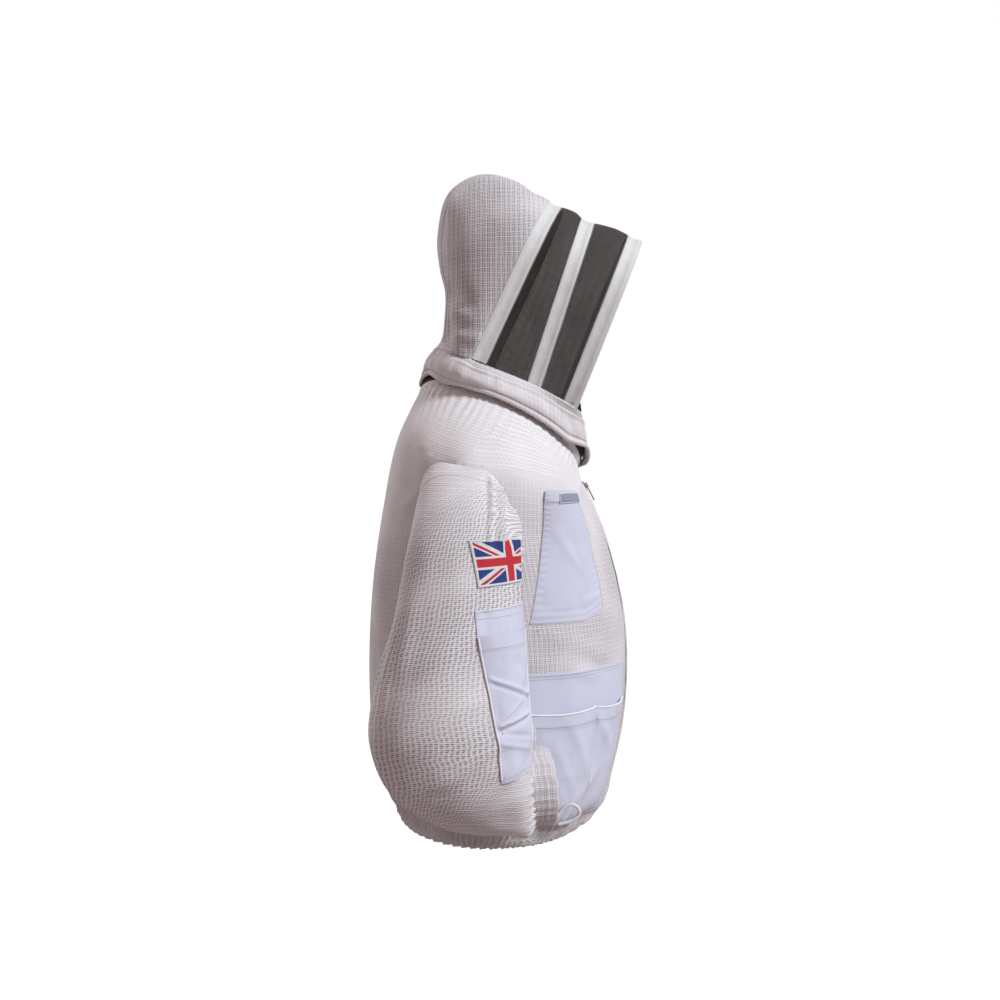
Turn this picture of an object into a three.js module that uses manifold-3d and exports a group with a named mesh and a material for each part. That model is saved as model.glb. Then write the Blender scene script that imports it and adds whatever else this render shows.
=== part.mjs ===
// Ventilated beekeeping jacket with a zip-on fencing hood, closed and worn.
// Millimetres, +Z up. The wearer faces -Y, so the wearer's right side is -X.
// The origin is the middle of the neck zip, where the jacket rests on the wearer's shoulders.
import * as THREE from 'three';
import { mergeVertices } from 'three/addons/utils/BufferGeometryUtils.js';
import Module from 'manifold-3d';

const wasm = await Module();
wasm.setup();

const { lerp, degToRad } = THREE.MathUtils;
const V = (x, y, z) => new THREE.Vector3(x, y, z);

// ---------------------------------------------------------------- driving dimensions

const AIRMESH = 3; // three-layer ventilated cloth
const COTTON = 1.2; // smooth pocket cloth
const VEIL = 0.8;
const SEAM_TURN = 0.12; // degrees of turn left open at each side of a body seam
const BUTT = 0.5; // space between pieces sewn edge to edge

const NECK_FRONT = V(0, -116, -55);
const NECK_SIDE = V(-135, 0, 48);
const NECK_BACK = V(0, 118, 56);

const ZIP_TAPE = 13.5; // half the width of a closed zip
const ZIP_SPLIT = 0.8; // from the middle of a zip to its coil
const COIL_WIDTH = 2.6;
const COIL_HALF = 1.3;
const TAPE_HALF = 0.5;

const FRONT_ZIP = { y: 386, z: -353, radius: 576, top: -72, bottom: -562 };

const HEM_WIDTH = 20;
const CUFF_WIDTH = 18;
const CASING_DEPTH = 7;

// ---------------------------------------------------------------- looks

const LOOKS = {
  airmesh: { color: 0xe6e2e6, roughness: 0.92, metalness: 0 },
  cotton: { color: 0xe9ecf4, roughness: 0.85, metalness: 0 },
  tape: { color: 0xd9dbdc, roughness: 0.8, metalness: 0 },
  veil: { color: 0x14110f, roughness: 0.7, metalness: 0 },
  zip: { color: 0x23221d, roughness: 0.75, metalness: 0 },
  slider: { color: 0x8d8f90, roughness: 0.35, metalness: 0.9 },
  elastic: { color: 0xf1f1ee, roughness: 0.8, metalness: 0 },
  boning: { color: 0xf4f4f0, roughness: 0.45, metalness: 0 },
  patch: { color: 0x27398c, roughness: 0.7, metalness: 0 },
  label: { color: 0x9aa3b8, roughness: 0.7, metalness: 0 },
};

// ---------------------------------------------------------------- sheets and solids

const BACK_FACE = 5; // the last of a box's six groups of triangles

function sheetNormal(surface, u, v) {
  const step = 1e-3;
  const alongU = surface(u + step, v).sub(surface(u - step, v));
  const alongV = surface(u, v + step).sub(surface(u, v - step));
  return alongU.cross(alongV).normalize();
}

// A box splits its back face along the other diagonals. Thin twisted cloth needs the same ones on
// both faces, so that its inner and outer walls stay apart.
function matchDiagonals(geometry) {
  const { index } = geometry;
  const { start, count } = geometry.groups[BACK_FACE];
  for (let i = start; i < start + count; i += 6) {
    const [a, b, d, c] = [0, 1, 2, 4].map((corner) => index.getX(i + corner));
    [a, b, c, a, c, d].forEach((vertex, corner) => index.setX(i + corner, vertex));
  }
}

// A sheet of cloth: place maps the unit square to the surface's own (u, v), and the sheet fills the
// space between its inner and outer offsets, each a distance or a function of (u, v).
function sheet(surface, place, columns, rows, inner, outer) {
  const geometry = new THREE.BoxGeometry(1, 1, 1, columns, rows, 1);
  const position = geometry.attributes.position;
  const offset = (side, u, v) => (typeof side === 'function' ? side(u, v) : side);
  for (let i = 0; i < position.count; i += 1) {
    const [u, v] = place(position.getX(i) + 0.5, position.getY(i) + 0.5);
    const out = lerp(offset(inner, u, v), offset(outer, u, v), position.getZ(i) + 0.5);
    const point = surface(u, v).addScaledVector(sheetNormal(surface, u, v), out);
    position.setXYZ(i, point.x, point.y, point.z);
  }
  matchDiagonals(geometry);
  return geometry;
}

// A smooth curve through the points, carried on straight past either end.
function through(points, share) {
  const curve = new THREE.CatmullRomCurve3(points);
  const inside = THREE.MathUtils.clamp(share, 0, 1);
  const point = curve.getPoint(inside);
  if (inside === share) return point;
  const step = 0.01;
  const within = curve.getPoint(inside === 0 ? step : 1 - step);
  return point.addScaledVector(point.clone().sub(within), Math.abs(share - inside) / step);
}

const span = (u0, u1, v0, v1) => (a, b) => [lerp(u0, u1, a), lerp(v0, v1, b)];

function welded(geometry) {
  const bare = geometry.clone();
  bare.deleteAttribute('normal');
  bare.deleteAttribute('uv');
  return mergeVertices(bare, 1e-4);
}

function mirrored(geometry) {
  const copy = welded(geometry).scale(-1, 1, 1);
  const index = copy.index;
  for (let i = 0; i < index.count; i += 3) {
    const first = index.getX(i);
    index.setX(i, index.getX(i + 2));
    index.setX(i + 2, first);
  }
  return copy;
}

function toManifold(geometry) {
  const solid = welded(geometry);
  const vertProperties = new Float32Array(solid.attributes.position.array);
  const triVerts = new Uint32Array(solid.index.array);
  return new wasm.Manifold(new wasm.Mesh({ numProp: 3, vertProperties, triVerts }));
}

function fromManifold(manifold) {
  const mesh = manifold.getMesh();
  const geometry = new THREE.BufferGeometry();
  geometry.setAttribute('position', new THREE.BufferAttribute(mesh.vertProperties, 3));
  geometry.setIndex(new THREE.BufferAttribute(mesh.triVerts, 1));
  return geometry;
}

function add(group, name, geometry, look) {
  const mesh = new THREE.Mesh(geometry, new THREE.MeshStandardMaterial(LOOKS[look]));
  mesh.name = name;
  group.add(mesh);
  return mesh;
}

function addPair(group, name, geometry, look) {
  add(group, `${name}_right`, geometry, look);
  add(group, `${name}_left`, mirrored(geometry), look);
}

// ---------------------------------------------------------------- the neck zip's path

function arcThrough(a, b, c) {
  const ab = b.clone().sub(a);
  const ac = c.clone().sub(a);
  const axis = ab.clone().cross(ac);
  const towardAb = axis.clone().cross(ab).multiplyScalar(ac.lengthSq());
  const towardAc = ac.clone().cross(axis).multiplyScalar(ab.lengthSq());
  const toCentre = towardAb.add(towardAc).divideScalar(2 * axis.lengthSq());
  const centre = a.clone().add(toCentre);
  const start = toCentre.clone().negate();
  const radius = start.length();
  start.normalize();
  axis.normalize();
  const side = axis.clone().cross(start);
  const end = c.clone().sub(centre);
  const sweep = (Math.atan2(end.dot(side), end.dot(start)) + 2 * Math.PI) % (2 * Math.PI);
  return { centre, axis, start, side, radius, sweep };
}

// Each half of the neck zip is an arc from the throat over one shoulder to the nape.
const NECK_ARC = arcThrough(NECK_FRONT, NECK_SIDE, NECK_BACK);
const LEAN_FADE = 30; // the tapes of both halves level out this near the middle

// turn: 0 at the throat, 90 at the right shoulder, 180 at the nape, 270 at the left shoulder.
// across climbs the tape towards the hood, and out leaves the neck.
function neckPoint(turn, across, out) {
  const wrapped = ((turn % 360) + 360) % 360;
  const left = wrapped > 180;
  const angle = ((left ? 360 - wrapped : wrapped) / 180) * NECK_ARC.sweep;
  const radial = NECK_ARC.start.clone().multiplyScalar(Math.cos(angle))
    .addScaledVector(NECK_ARC.side, Math.sin(angle));
  const point = NECK_ARC.centre.clone().addScaledVector(radial, NECK_ARC.radius);
  const up = NECK_ARC.axis.clone().negate();
  up.x *= Math.min(1, Math.abs(point.x) / LEAN_FADE);
  point.addScaledVector(radial, out).addScaledVector(up, across);
  if (left) point.x = -point.x;
  return point;
}

// ---------------------------------------------------------------- the body of the jacket

const onFrontZip = (z) => [
  FRONT_ZIP.y - Math.sqrt(FRONT_ZIP.radius ** 2 - (z - FRONT_ZIP.z) ** 2),
  z,
];

// Rings from the hem to the shoulders: front and back are (y, z), side is (half width, y, z).
const BODY_RINGS = [
  { front: [-112, -592], back: [147, -584], side: [182, 18, -590] },
  { front: [-138, -570], back: [151, -563], side: [190, 12, -569] },
  { front: onFrontZip(-545), back: [168, -540], side: [203, 8, -545] },
  { front: onFrontZip(-500), back: [187, -500], side: [207, 6, -503] },
  { front: onFrontZip(-420), back: [196, -425], side: [207, 5, -425] },
  { front: onFrontZip(-290), back: [196, -293], side: [205, 5, -293] },
  { front: onFrontZip(-160), back: [180, -140], side: [212, 12, -160] },
  { front: onFrontZip(-95), back: [152, -8], side: [236, 26, -62] },
];
const RINGS = BODY_RINGS.length;
const HEM_TOP = 1 / RINGS;

function ringPoint(ring, turn) {
  const forward = Math.cos(degToRad(turn));
  const [endY, endZ] = forward > 0 ? ring.front : ring.back;
  const [halfWidth, sideY, sideZ] = ring.side;
  return V(
    -halfWidth * Math.sin(degToRad(turn)),
    lerp(sideY, endY, Math.abs(forward)),
    lerp(sideZ, endZ, forward * forward),
  );
}

// height: 0 at the hem, 1 at the neck zip's lower tape.
function body(height, turn) {
  const points = BODY_RINGS.map((ring) => ringPoint(ring, turn));
  points.push(neckPoint(turn, -ZIP_TAPE - BUTT, 0));
  return through(points, height);
}

const ARMHOLE = { turn: 102, height: 6.03 / RINGS, half: 0.97 / RINGS, spread: 23 };
const NECK_SEAM_TURN = 84; // where the shoulder seam meets the neck

function sideSeam(height) {
  const top = ARMHOLE.height + ARMHOLE.half;
  const climb = THREE.MathUtils.clamp((height - top) / (1 - top), 0, 1);
  return lerp(ARMHOLE.turn, NECK_SEAM_TURN, climb);
}

function armholeSpread(height) {
  const offset = (height - ARMHOLE.height) / ARMHOLE.half;
  return ARMHOLE.spread * Math.sqrt(Math.max(0, 1 - offset * offset));
}

function frontEdge(height) {
  const halfWidth = -body(height, 90).x;
  return THREE.MathUtils.radToDeg(Math.asin((ZIP_TAPE + BUTT) / halfWidth));
}

const BODY_BOTTOM = HEM_TOP + 0.004;

function frontPanel() {
  const place = (a, b) => {
    const height = lerp(BODY_BOTTOM, 1, a);
    const seam = sideSeam(height) - armholeSpread(height) - SEAM_TURN;
    return [height, lerp(frontEdge(height), seam, b)];
  };
  return sheet(body, place, 14, 6, -AIRMESH, 0);
}

function backPanel() {
  const place = (a, b) => {
    const height = lerp(BODY_BOTTOM, 1, a);
    const seam = sideSeam(height) + armholeSpread(height) + SEAM_TURN;
    return [height, lerp(seam, 360 - seam, b)];
  };
  return sheet(body, place, 14, 12, -AIRMESH, 0);
}

// A casing folded back on itself: down the inside, round the fold and up the outside.
// Its distances are measured from the folded edge.
const FOLD_STEPS = 4;

function foldPoint(step, width) {
  const radius = CASING_DEPTH / 2;
  const corners = [
    [width, CASING_DEPTH], [radius, CASING_DEPTH], [0, radius], [radius, 0], [width, 0],
  ];
  const last = Math.min(FOLD_STEPS - 1, Math.max(0, Math.floor(step)));
  const [rise, inset] = corners[last].map((from, i) => lerp(from, corners[last + 1][i], step - last));
  return { rise, inset };
}

function hemFrame(turn) {
  const edge = body(0, turn);
  const rise = body(HEM_TOP, turn).sub(edge).normalize();
  const round = body(0, turn + 1).sub(body(0, turn - 1));
  const out = rise.clone().cross(round).normalize();
  return { edge, rise, out };
}

function hemPoint(turn, rise, inset) {
  const frame = hemFrame(turn);
  return frame.edge.addScaledVector(frame.rise, rise).addScaledVector(frame.out, -inset);
}

const HEM_STEPS = 28;
const HEM_FRONT = 5; // degrees of turn from the front middle to each end of the hem

function hemCasing() {
  const surface = (step, turn) => {
    const fold = foldPoint(step, HEM_WIDTH);
    return hemPoint(turn, fold.rise, fold.inset);
  };
  const place = span(0, FOLD_STEPS, HEM_FRONT, 360 - HEM_FRONT);
  return sheet(surface, place, FOLD_STEPS, HEM_STEPS, -COTTON, 0);
}

function hemElastic() {
  const surface = (rise, turn) => hemPoint(turn, rise, CASING_DEPTH / 2);
  return sheet(surface, span(5, HEM_WIDTH - 2, HEM_FRONT, 360 - HEM_FRONT), 1, HEM_STEPS, -0.7, 0.7);
}

// ---------------------------------------------------------------- zips, sliders and pulls

// A zip's half: flat tape with a thicker coil along the edge that meets the other half.
function zipHalf(surface, alongFrom, alongTo, steps) {
  const thick = (across) => Math.abs(across) < ZIP_SPLIT + COIL_WIDTH;
  const outer = (across) => (thick(across) ? COIL_HALF : TAPE_HALF);
  const coilEdge = ZIP_SPLIT + COIL_WIDTH;
  const stations = [ZIP_SPLIT, coilEdge - 0.01, coilEdge + 0.3, ZIP_TAPE];
  const place = (a, b) => [stations[Math.round(a * 3)], lerp(alongFrom, alongTo, b)];
  return sheet(surface, place, 3, steps, (across) => -outer(across), outer);
}

function frontZipPoint(side, z) {
  const [y] = onFrontZip(z);
  return V(-side, y, z);
}

const neckTapeUpper = (across, turn) => neckPoint(turn, across, 0);
const neckTapeLower = (across, turn) => neckPoint(-turn, -across, 0);

const SLIDER = { length: 15, width: 11, plate: 1.7, channel: 2.1, post: 1 };
const LUG = { length: 7, width: 2.6, height: 4.6, bore: 1.5 };
const PULL = { length: 26, width: 8, thick: 1.6, window: 6, slot: 3.6 };
const LUG_CENTRE = SLIDER.channel + SLIDER.plate + LUG.height - 2.3;

// The slider lies along X, with the zip's halves at +Y and -Y and its outside towards +Z.
function sliderBody() {
  const { width, plate, channel, post, length } = SLIDER;
  const top = channel + plate;
  const outline = new THREE.Shape();
  const half = [
    [width / 2, -top], [width / 2, -channel], [post / 2, -channel],
    [post / 2, channel], [width / 2, channel], [width / 2, top],
  ];
  half.forEach(([y, z], i) => (i ? outline.lineTo(y, z) : outline.moveTo(y, z)));
  [...half].reverse().forEach(([y, z]) => outline.lineTo(-y, z));
  const frame = new THREE.ExtrudeGeometry(outline, { depth: length, bevelEnabled: false });
  frame.translate(0, 0, -length / 2).rotateX(Math.PI / 2).rotateZ(Math.PI / 2);
  const lug = new THREE.BoxGeometry(LUG.length, LUG.width, LUG.height);
  lug.translate(0, 0, top + LUG.height / 2 - 0.3);
  const bore = new THREE.CylinderGeometry(LUG.bore, LUG.bore, LUG.width + 2, 16);
  bore.translate(0, 0, LUG_CENTRE);
  const solid = toManifold(frame).add(toManifold(lug)).subtract(toManifold(bore));
  return fromManifold(solid);
}

// The pull trails along +X from a cross bar that sits in the slider's lug.
function pullTab() {
  const { length, width, thick, window, slot } = PULL;
  const outline = new THREE.Shape();
  outline.moveTo(-thick / 2, -width / 2);
  outline.lineTo(length - width / 2, -width / 2);
  outline.absarc(length - width / 2, 0, width / 2, -Math.PI / 2, Math.PI / 2, false);
  outline.lineTo(-thick / 2, width / 2);
  outline.closePath();
  const hole = new THREE.Path();
  hole.moveTo(thick / 2, -slot / 2);
  hole.lineTo(thick / 2, slot / 2);
  hole.lineTo(window, slot / 2);
  hole.lineTo(window, -slot / 2);
  hole.closePath();
  outline.holes.push(hole);
  const solid = new THREE.ExtrudeGeometry(outline, {
    depth: thick, bevelEnabled: false, curveSegments: 6,
  });
  return solid.translate(0, 0, LUG_CENTRE - thick / 2);
}

function placeOnZip(mesh, point, along, out) {
  const across = out.clone().cross(along).normalize();
  const basis = new THREE.Matrix4().makeBasis(along, across, out);
  mesh.quaternion.setFromRotationMatrix(basis);
  mesh.position.copy(point);
}

const NECK_SLIDER_TURN = 6;
const FRONT_SLIDER_Z = -88;

function neckStation(turn) {
  const point = neckPoint(turn, 0, 0);
  const along = neckPoint(turn + 1, 0, 0).sub(neckPoint(turn - 1, 0, 0)).normalize();
  const out = neckPoint(turn, 0, 1).sub(point).normalize();
  return { point, along, out };
}

function frontStation(z) {
  const point = frontZipPoint(0, z);
  const out = V(0, point.y - FRONT_ZIP.y, z - FRONT_ZIP.z).normalize();
  const along = V(1, 0, 0).cross(out);
  return { point, along: along.z > 0 ? along.negate() : along, out };
}

function addSlider(group, name, station) {
  for (const [suffix, geometry] of [['slider', sliderBody()], ['pull', pullTab()]]) {
    const mesh = add(group, `${name}_${suffix}`, geometry, 'slider');
    placeOnZip(mesh, station.point, station.along, station.out);
  }
}

function addZips(jacket, hood) {
  const { top, bottom } = FRONT_ZIP;
  const frontHalf = zipHalf(frontZipPoint, bottom, top, 13);
  addPair(jacket, 'front_zip', frontHalf, 'zip');
  const turns = [2.2, 178];
  addPair(hood, 'neck_zip_upper', zipHalf(neckTapeUpper, ...turns, 22), 'zip');
  const lower = zipHalf(neckTapeLower, ...turns.map((turn) => -turn).reverse(), 22);
  addPair(jacket, 'neck_zip_lower', lower, 'zip');
  addSlider(jacket, 'front', frontStation(FRONT_SLIDER_Z));
  addSlider(jacket, 'neck_right', neckStation(NECK_SLIDER_TURN));
  const left = neckStation(360 - NECK_SLIDER_TURN);
  addSlider(jacket, 'neck_left', { ...left, along: left.along.negate() });
  const box = new THREE.BoxGeometry(14, 3.4, 7);
  const foot = frontZipPoint(0, bottom - 5);
  add(jacket, 'front_zip_box', box.translate(foot.x, foot.y, foot.z), 'slider');
}

// ---------------------------------------------------------------- pockets on the body

// A patch pocket: sewn down along its sides and foot, standing off the cloth at its mouth.
function pouch(surface, place, columns, rows, depth) {
  const swell = (a, b) => 1 + depth * Math.sin(Math.PI * b) ** 0.7 * Math.min(1, a * 1.6);
  const raised = (a, b) => {
    const [u, v] = place(a, b);
    const open = swell(THREE.MathUtils.clamp(a, 0, 1), THREE.MathUtils.clamp(b, 0, 1));
    return surface(u, v).addScaledVector(sheetNormal(surface, u, v), open);
  };
  return sheet(raised, (a, b) => [a, b], columns, rows, 0, COTTON);
}

const CHEST_POCKET = { low: 5.12 / RINGS, high: 6.72 / RINGS, from: 28, to: 66, depth: 11 };
const LOWER_POCKET = { low: 1.5 / RINGS, mouth: 4.22 / RINGS, top: 4.62 / RINGS, from: 20, to: 82 };

// The chest pocket's foot is cut to a blunt point.
function chestPocket() {
  const { low, high, from, to, depth } = CHEST_POCKET;
  const foot = (b) => low + 0.022 * Math.max(0, Math.abs(2 * b - 1) - 0.35);
  const place = (a, b) => [lerp(foot(b), high, a), lerp(from, to, b)];
  return pouch(body, place, 6, 6, depth);
}

function chestLabel() {
  const { high, from } = CHEST_POCKET;
  const lift = CHEST_POCKET.depth + COTTON + 3;
  return sheet(body, span(high - 0.026, high - 0.008, from + 6, from + 19), 2, 5, lift, lift + 0.6);
}

function lowerPocket() {
  const { low, mouth, from, to } = LOWER_POCKET;
  const place = (a, b) => [lerp(low, mouth, a), lerp(from, to, b)];
  return pouch(body, place, 6, 8, 12);
}

function lowerPocketFacing() {
  const { mouth, top, from, to } = LOWER_POCKET;
  return sheet(body, span(mouth + 0.003, top, from, to), 2, 8, 1, 1 + COTTON);
}

function stormFlap() {
  const surface = (side, z) => frontZipPoint(side, z);
  return sheet(surface, span(-20, 20, FRONT_ZIP.bottom + 16, FRONT_ZIP.top - 6), 1, 13, 6.6, 8);
}

// A locker loop inside the back of the neck, standing off the cloth so that a peg can pass.
function hangLoop() {
  const half = 32;
  const stand = 11;
  const outline = new THREE.Shape();
  outline.moveTo(-half, 0);
  outline.lineTo(-half + 8, -stand);
  outline.lineTo(half - 8, -stand);
  outline.lineTo(half, 0);
  outline.lineTo(half - 2.4, 0);
  outline.lineTo(half - 9, -stand + 1.6);
  outline.lineTo(-half + 9, -stand + 1.6);
  outline.lineTo(-half + 2.4, 0);
  outline.closePath();
  const strap = new THREE.ExtrudeGeometry(outline, { depth: 10, bevelEnabled: false });
  return strap.translate(0, NECK_BACK.y - 4, 20);
}

// ---------------------------------------------------------------- sleeves

// Rings of the right sleeve below the armhole. front and back are (y, z), x and half are the
// middle's distance and half width outwards, and tilt raises the ring's outer side.
const SLEEVE_RINGS = [
  { front: [-27, -205], back: [128, -205], x: 255, half: 45, tilt: 88 },
  { front: [-29, -275], back: [142, -275], x: 275, half: 62, tilt: 42 },
  { front: [-36, -345], back: [163, -352], x: 284, half: 72, tilt: 8 },
  { front: [-42, -388], back: [170, -420], x: 288, half: 75, tilt: 0 },
  { front: [-46, -405], back: [150, -476], x: 287, half: 73, tilt: 0 },
  { front: [-47, -414], back: [98, -520], x: 283, half: 68, tilt: 0 },
  { front: [-46, -420], back: [34, -543], x: 276, half: 61, tilt: 0 },
  { front: [-45, -425], back: [-20, -550], x: 268, half: 54, tilt: 0 },
  { front: [-43, -429], back: [-37, -547], x: 264, half: 47, tilt: 0 },
  { front: [-39, -434], back: [-48, -532], x: 261, half: 42, tilt: 0 },
];
const CUFF_RING = SLEEVE_RINGS[SLEEVE_RINGS.length - 1];
const CUFF_STEPS = 18;
const CUFF_GAP = 3.5;
const ARMHOLE_EASE = 0.975; // the sleeve's head is a little smaller than the armhole

// turn: 0 at the front of the arm, 90 outside, 180 behind, 270 against the body.
function sleeveRing(ring, turn) {
  const [frontY, frontZ] = ring.front;
  const [backY, backZ] = ring.back;
  const forward = Math.cos(degToRad(turn)) / 2;
  const outward = Math.sin(degToRad(turn));
  return V(
    -ring.x - ring.half * outward,
    (frontY + backY) / 2 + (frontY - backY) * forward,
    (frontZ + backZ) / 2 + (frontZ - backZ) * forward + ring.tilt * outward,
  );
}

function armholePoint(turn) {
  const height = ARMHOLE.height + ARMHOLE.half * ARMHOLE_EASE * Math.sin(degToRad(turn));
  const spread = ARMHOLE.spread * ARMHOLE_EASE * Math.cos(degToRad(turn));
  return body(height, ARMHOLE.turn - spread);
}

// along: 0 at the armhole, 1 at the cuff's seam.
function sleeve(turn, along) {
  const points = [armholePoint(turn), ...SLEEVE_RINGS.map((ring) => sleeveRing(ring, turn))];
  return through(points, along);
}

function sleevePanel(from, to) {
  return sheet(sleeve, span(from + 0.3, to - 0.3, 0, 1), 6, 12, -AIRMESH, 0);
}

function cuffPoint(turn, rise, inset) {
  const edge = sleeveRing(CUFF_RING, turn);
  const middle = sleeveRing(CUFF_RING, turn).add(sleeveRing(CUFF_RING, turn + 180)).divideScalar(2);
  const [frontY, frontZ] = CUFF_RING.front;
  const [backY, backZ] = CUFF_RING.back;
  const forward = V(0, backZ - frontZ, frontY - backY).normalize();
  const inward = middle.sub(edge).normalize();
  return edge.addScaledVector(forward, CUFF_WIDTH + CUFF_GAP - rise).addScaledVector(inward, inset);
}

function cuffCasing() {
  const surface = (turn, step) => {
    const fold = foldPoint(step, CUFF_WIDTH);
    return cuffPoint(turn, fold.rise, fold.inset);
  };
  return sheet(surface, span(0.4, 359.6, 0, FOLD_STEPS), CUFF_STEPS, FOLD_STEPS, 0, COTTON);
}

function cuffElastic() {
  const surface = (turn, rise) => cuffPoint(turn, rise, CASING_DEPTH / 2);
  return sheet(surface, span(0.4, 359.6, 5, CUFF_WIDTH - 2), CUFF_STEPS, 1, -0.7, 0.7);
}

// A loop of round elastic sewn to the cuff's lower front edge.
function thumbLoop() {
  const foot = cuffPoint(150, -4.6, 0);
  const half = 10;
  const reach = 27;
  const path = new THREE.CatmullRomCurve3([
    V(0, 2, -half * 0.4), V(0, -reach * 0.45, -half), V(0, -reach * 0.9, -half * 0.8),
    V(0, -reach, 0), V(0, -reach * 0.85, half * 0.8), V(0, -reach * 0.4, half),
    V(0, 2, half * 0.4),
  ]);
  const section = new THREE.Shape().absarc(0, 0, 1.6, 0, 2 * Math.PI, false);
  const loop = new THREE.ExtrudeGeometry(section, {
    steps: 12, curveSegments: 3, bevelEnabled: false, extrudePath: path,
  });
  return loop.rotateX(degToRad(-18)).translate(foot.x, foot.y, foot.z);
}

// Pieces sewn on the sleeve are cut as seen looking at the front of the upper arm from outside.
const ARM_VIEW = V(0.8, 0.6, 0);
const ARM_ACROSS = V(0.6, -0.8, 0);

// Corners are distances (across the view, z), at the front edge then at the back edge, of the
// foot and of the top.
function drapedOn(mesh, corners) {
  mesh.updateMatrixWorld(true);
  const ray = new THREE.Raycaster();
  const far = 1000;
  return (a, b) => {
    const [low, high] = corners;
    const across = lerp(lerp(low[0], low[2], b), lerp(high[0], high[2], b), a);
    const z = lerp(lerp(low[1], low[3], b), lerp(high[1], high[3], b), a);
    const from = ARM_ACROSS.clone().multiplyScalar(across).add(V(0, 0, z));
    ray.set(from.addScaledVector(ARM_VIEW, -far), ARM_VIEW);
    return ray.intersectObject(mesh)[0].point;
  };
}

const SEWN_LIFT = 3;
const SLEEVE_POCKET = [[-163, -466, -207, -474], [-147, -272, -220, -277]];
const SLEEVE_FACING = [[-147, -270.5, -220, -275.5], [-146, -243, -216, -252]];
const SLEEVE_PATCH = [[-146, -216, -203, -221], [-146, -160, -203, -161]];

function sewnOn(mesh, corners, columns, rows, lift, thickness, depth) {
  const base = drapedOn(mesh, corners);
  const raised = (a, b) => {
    const inA = THREE.MathUtils.clamp(a, 0, 1);
    const inB = THREE.MathUtils.clamp(b, 0, 1);
    const swell = depth * Math.sin(Math.PI * inB) ** 0.7 * Math.min(1, inA * 1.6);
    return base(a, b).addScaledVector(ARM_VIEW, -lift - swell);
  };
  return sheet(raised, (a, b) => [a, b], columns, rows, 0, thickness);
}

function addSleeves(right, left) {
  const outer = sleevePanel(0, 180);
  const inner = sleevePanel(180, 360);
  for (const [group, suffix, turned] of [[right, 'right', (g) => g], [left, 'left', mirrored]]) {
    add(group, `sleeve_${suffix}_outer`, turned(outer), 'airmesh');
    add(group, `sleeve_${suffix}_inner`, turned(inner), 'airmesh');
    add(group, `cuff_${suffix}`, turned(cuffCasing()), 'airmesh');
    add(group, `cuff_elastic_${suffix}`, turned(cuffElastic()), 'elastic');
    add(group, `thumb_loop_${suffix}`, turned(thumbLoop()), 'elastic');
  }
  const arm = right.getObjectByName('sleeve_right_outer');
  add(right, 'sleeve_pocket', sewnOn(arm, SLEEVE_POCKET, 7, 5, SEWN_LIFT, COTTON, 9), 'cotton');
  add(right, 'sleeve_pocket_facing', sewnOn(arm, SLEEVE_FACING, 2, 5, SEWN_LIFT, COTTON, 0), 'cotton');
  add(right, 'sleeve_patch', sewnOn(arm, SLEEVE_PATCH, 4, 4, SEWN_LIFT, 1, 0), 'patch');
}

// ---------------------------------------------------------------- hood and veil

// Three hoops carry the veil. foot and crown are (y, z) in the middle plane.
const HOOPS = [
  { foot: [30, 88], crown: [-84, 332], half: 136, pinch: 0.06 },
  { foot: [-47, 52], crown: [-131, 308], half: 140, pinch: 0.1 },
  { foot: [-98, 25], crown: [-200, 283], half: 140, pinch: 0.2 },
];
const HOOP_CAP = 125; // height of the rounded top
const HOOP_SQUARE = 2.3; // how square the rounded top is, 2 being an ellipse
const LEG_SHARE = 0.3;
const TAPE_WIDTH = 22;
const ARCH_STEPS = 20;

// share: 0 at the right foot, 0.5 at the crown, 1 at the left foot.
function hoopPoint(hoop, share) {
  const [footY, footZ] = hoop.foot;
  const [crownY, crownZ] = hoop.crown;
  const height = Math.hypot(crownY - footY, crownZ - footZ);
  const leg = height - HOOP_CAP;
  const side = share < 0.5 ? share : 1 - share;
  let up = (side / LEG_SHARE) * leg;
  let width = 1 - hoop.pinch * (1 - Math.min(1, side / LEG_SHARE)) ** 2;
  if (side > LEG_SHARE) {
    const angle = ((side - LEG_SHARE) / (0.5 - LEG_SHARE)) * (Math.PI / 2);
    up = leg + HOOP_CAP * Math.sin(angle) ** (2 / HOOP_SQUARE);
    width = Math.cos(angle) ** (2 / HOOP_SQUARE);
  }
  const x = hoop.half * width * (share < 0.5 ? -1 : 1);
  return V(x, lerp(footY, crownY, up / height), lerp(footZ, crownZ, up / height));
}

const VEIL_AXIS = V(0, -0.93, -0.36).normalize(); // the tunnel points forward and down

function hoopStrip(hoop, offset, halfWidth, inner, outer) {
  const surface = (share, along) => hoopPoint(hoop, share).addScaledVector(VEIL_AXIS, offset + along);
  return sheet(surface, span(0.004, 0.996, -halfWidth, halfWidth), ARCH_STEPS, 1, inner, outer);
}

function tunnelMesh(rear, front) {
  const clear = TAPE_WIDTH / 2 + BUTT;
  const surface = (share, along) => {
    const from = hoopPoint(rear, share).addScaledVector(VEIL_AXIS, clear);
    const to = hoopPoint(front, share).addScaledVector(VEIL_AXIS, -clear);
    return from.lerp(to, along);
  };
  return sheet(surface, span(0.004, 0.996, 0, 1), ARCH_STEPS, 1, -VEIL, 0);
}

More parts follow.
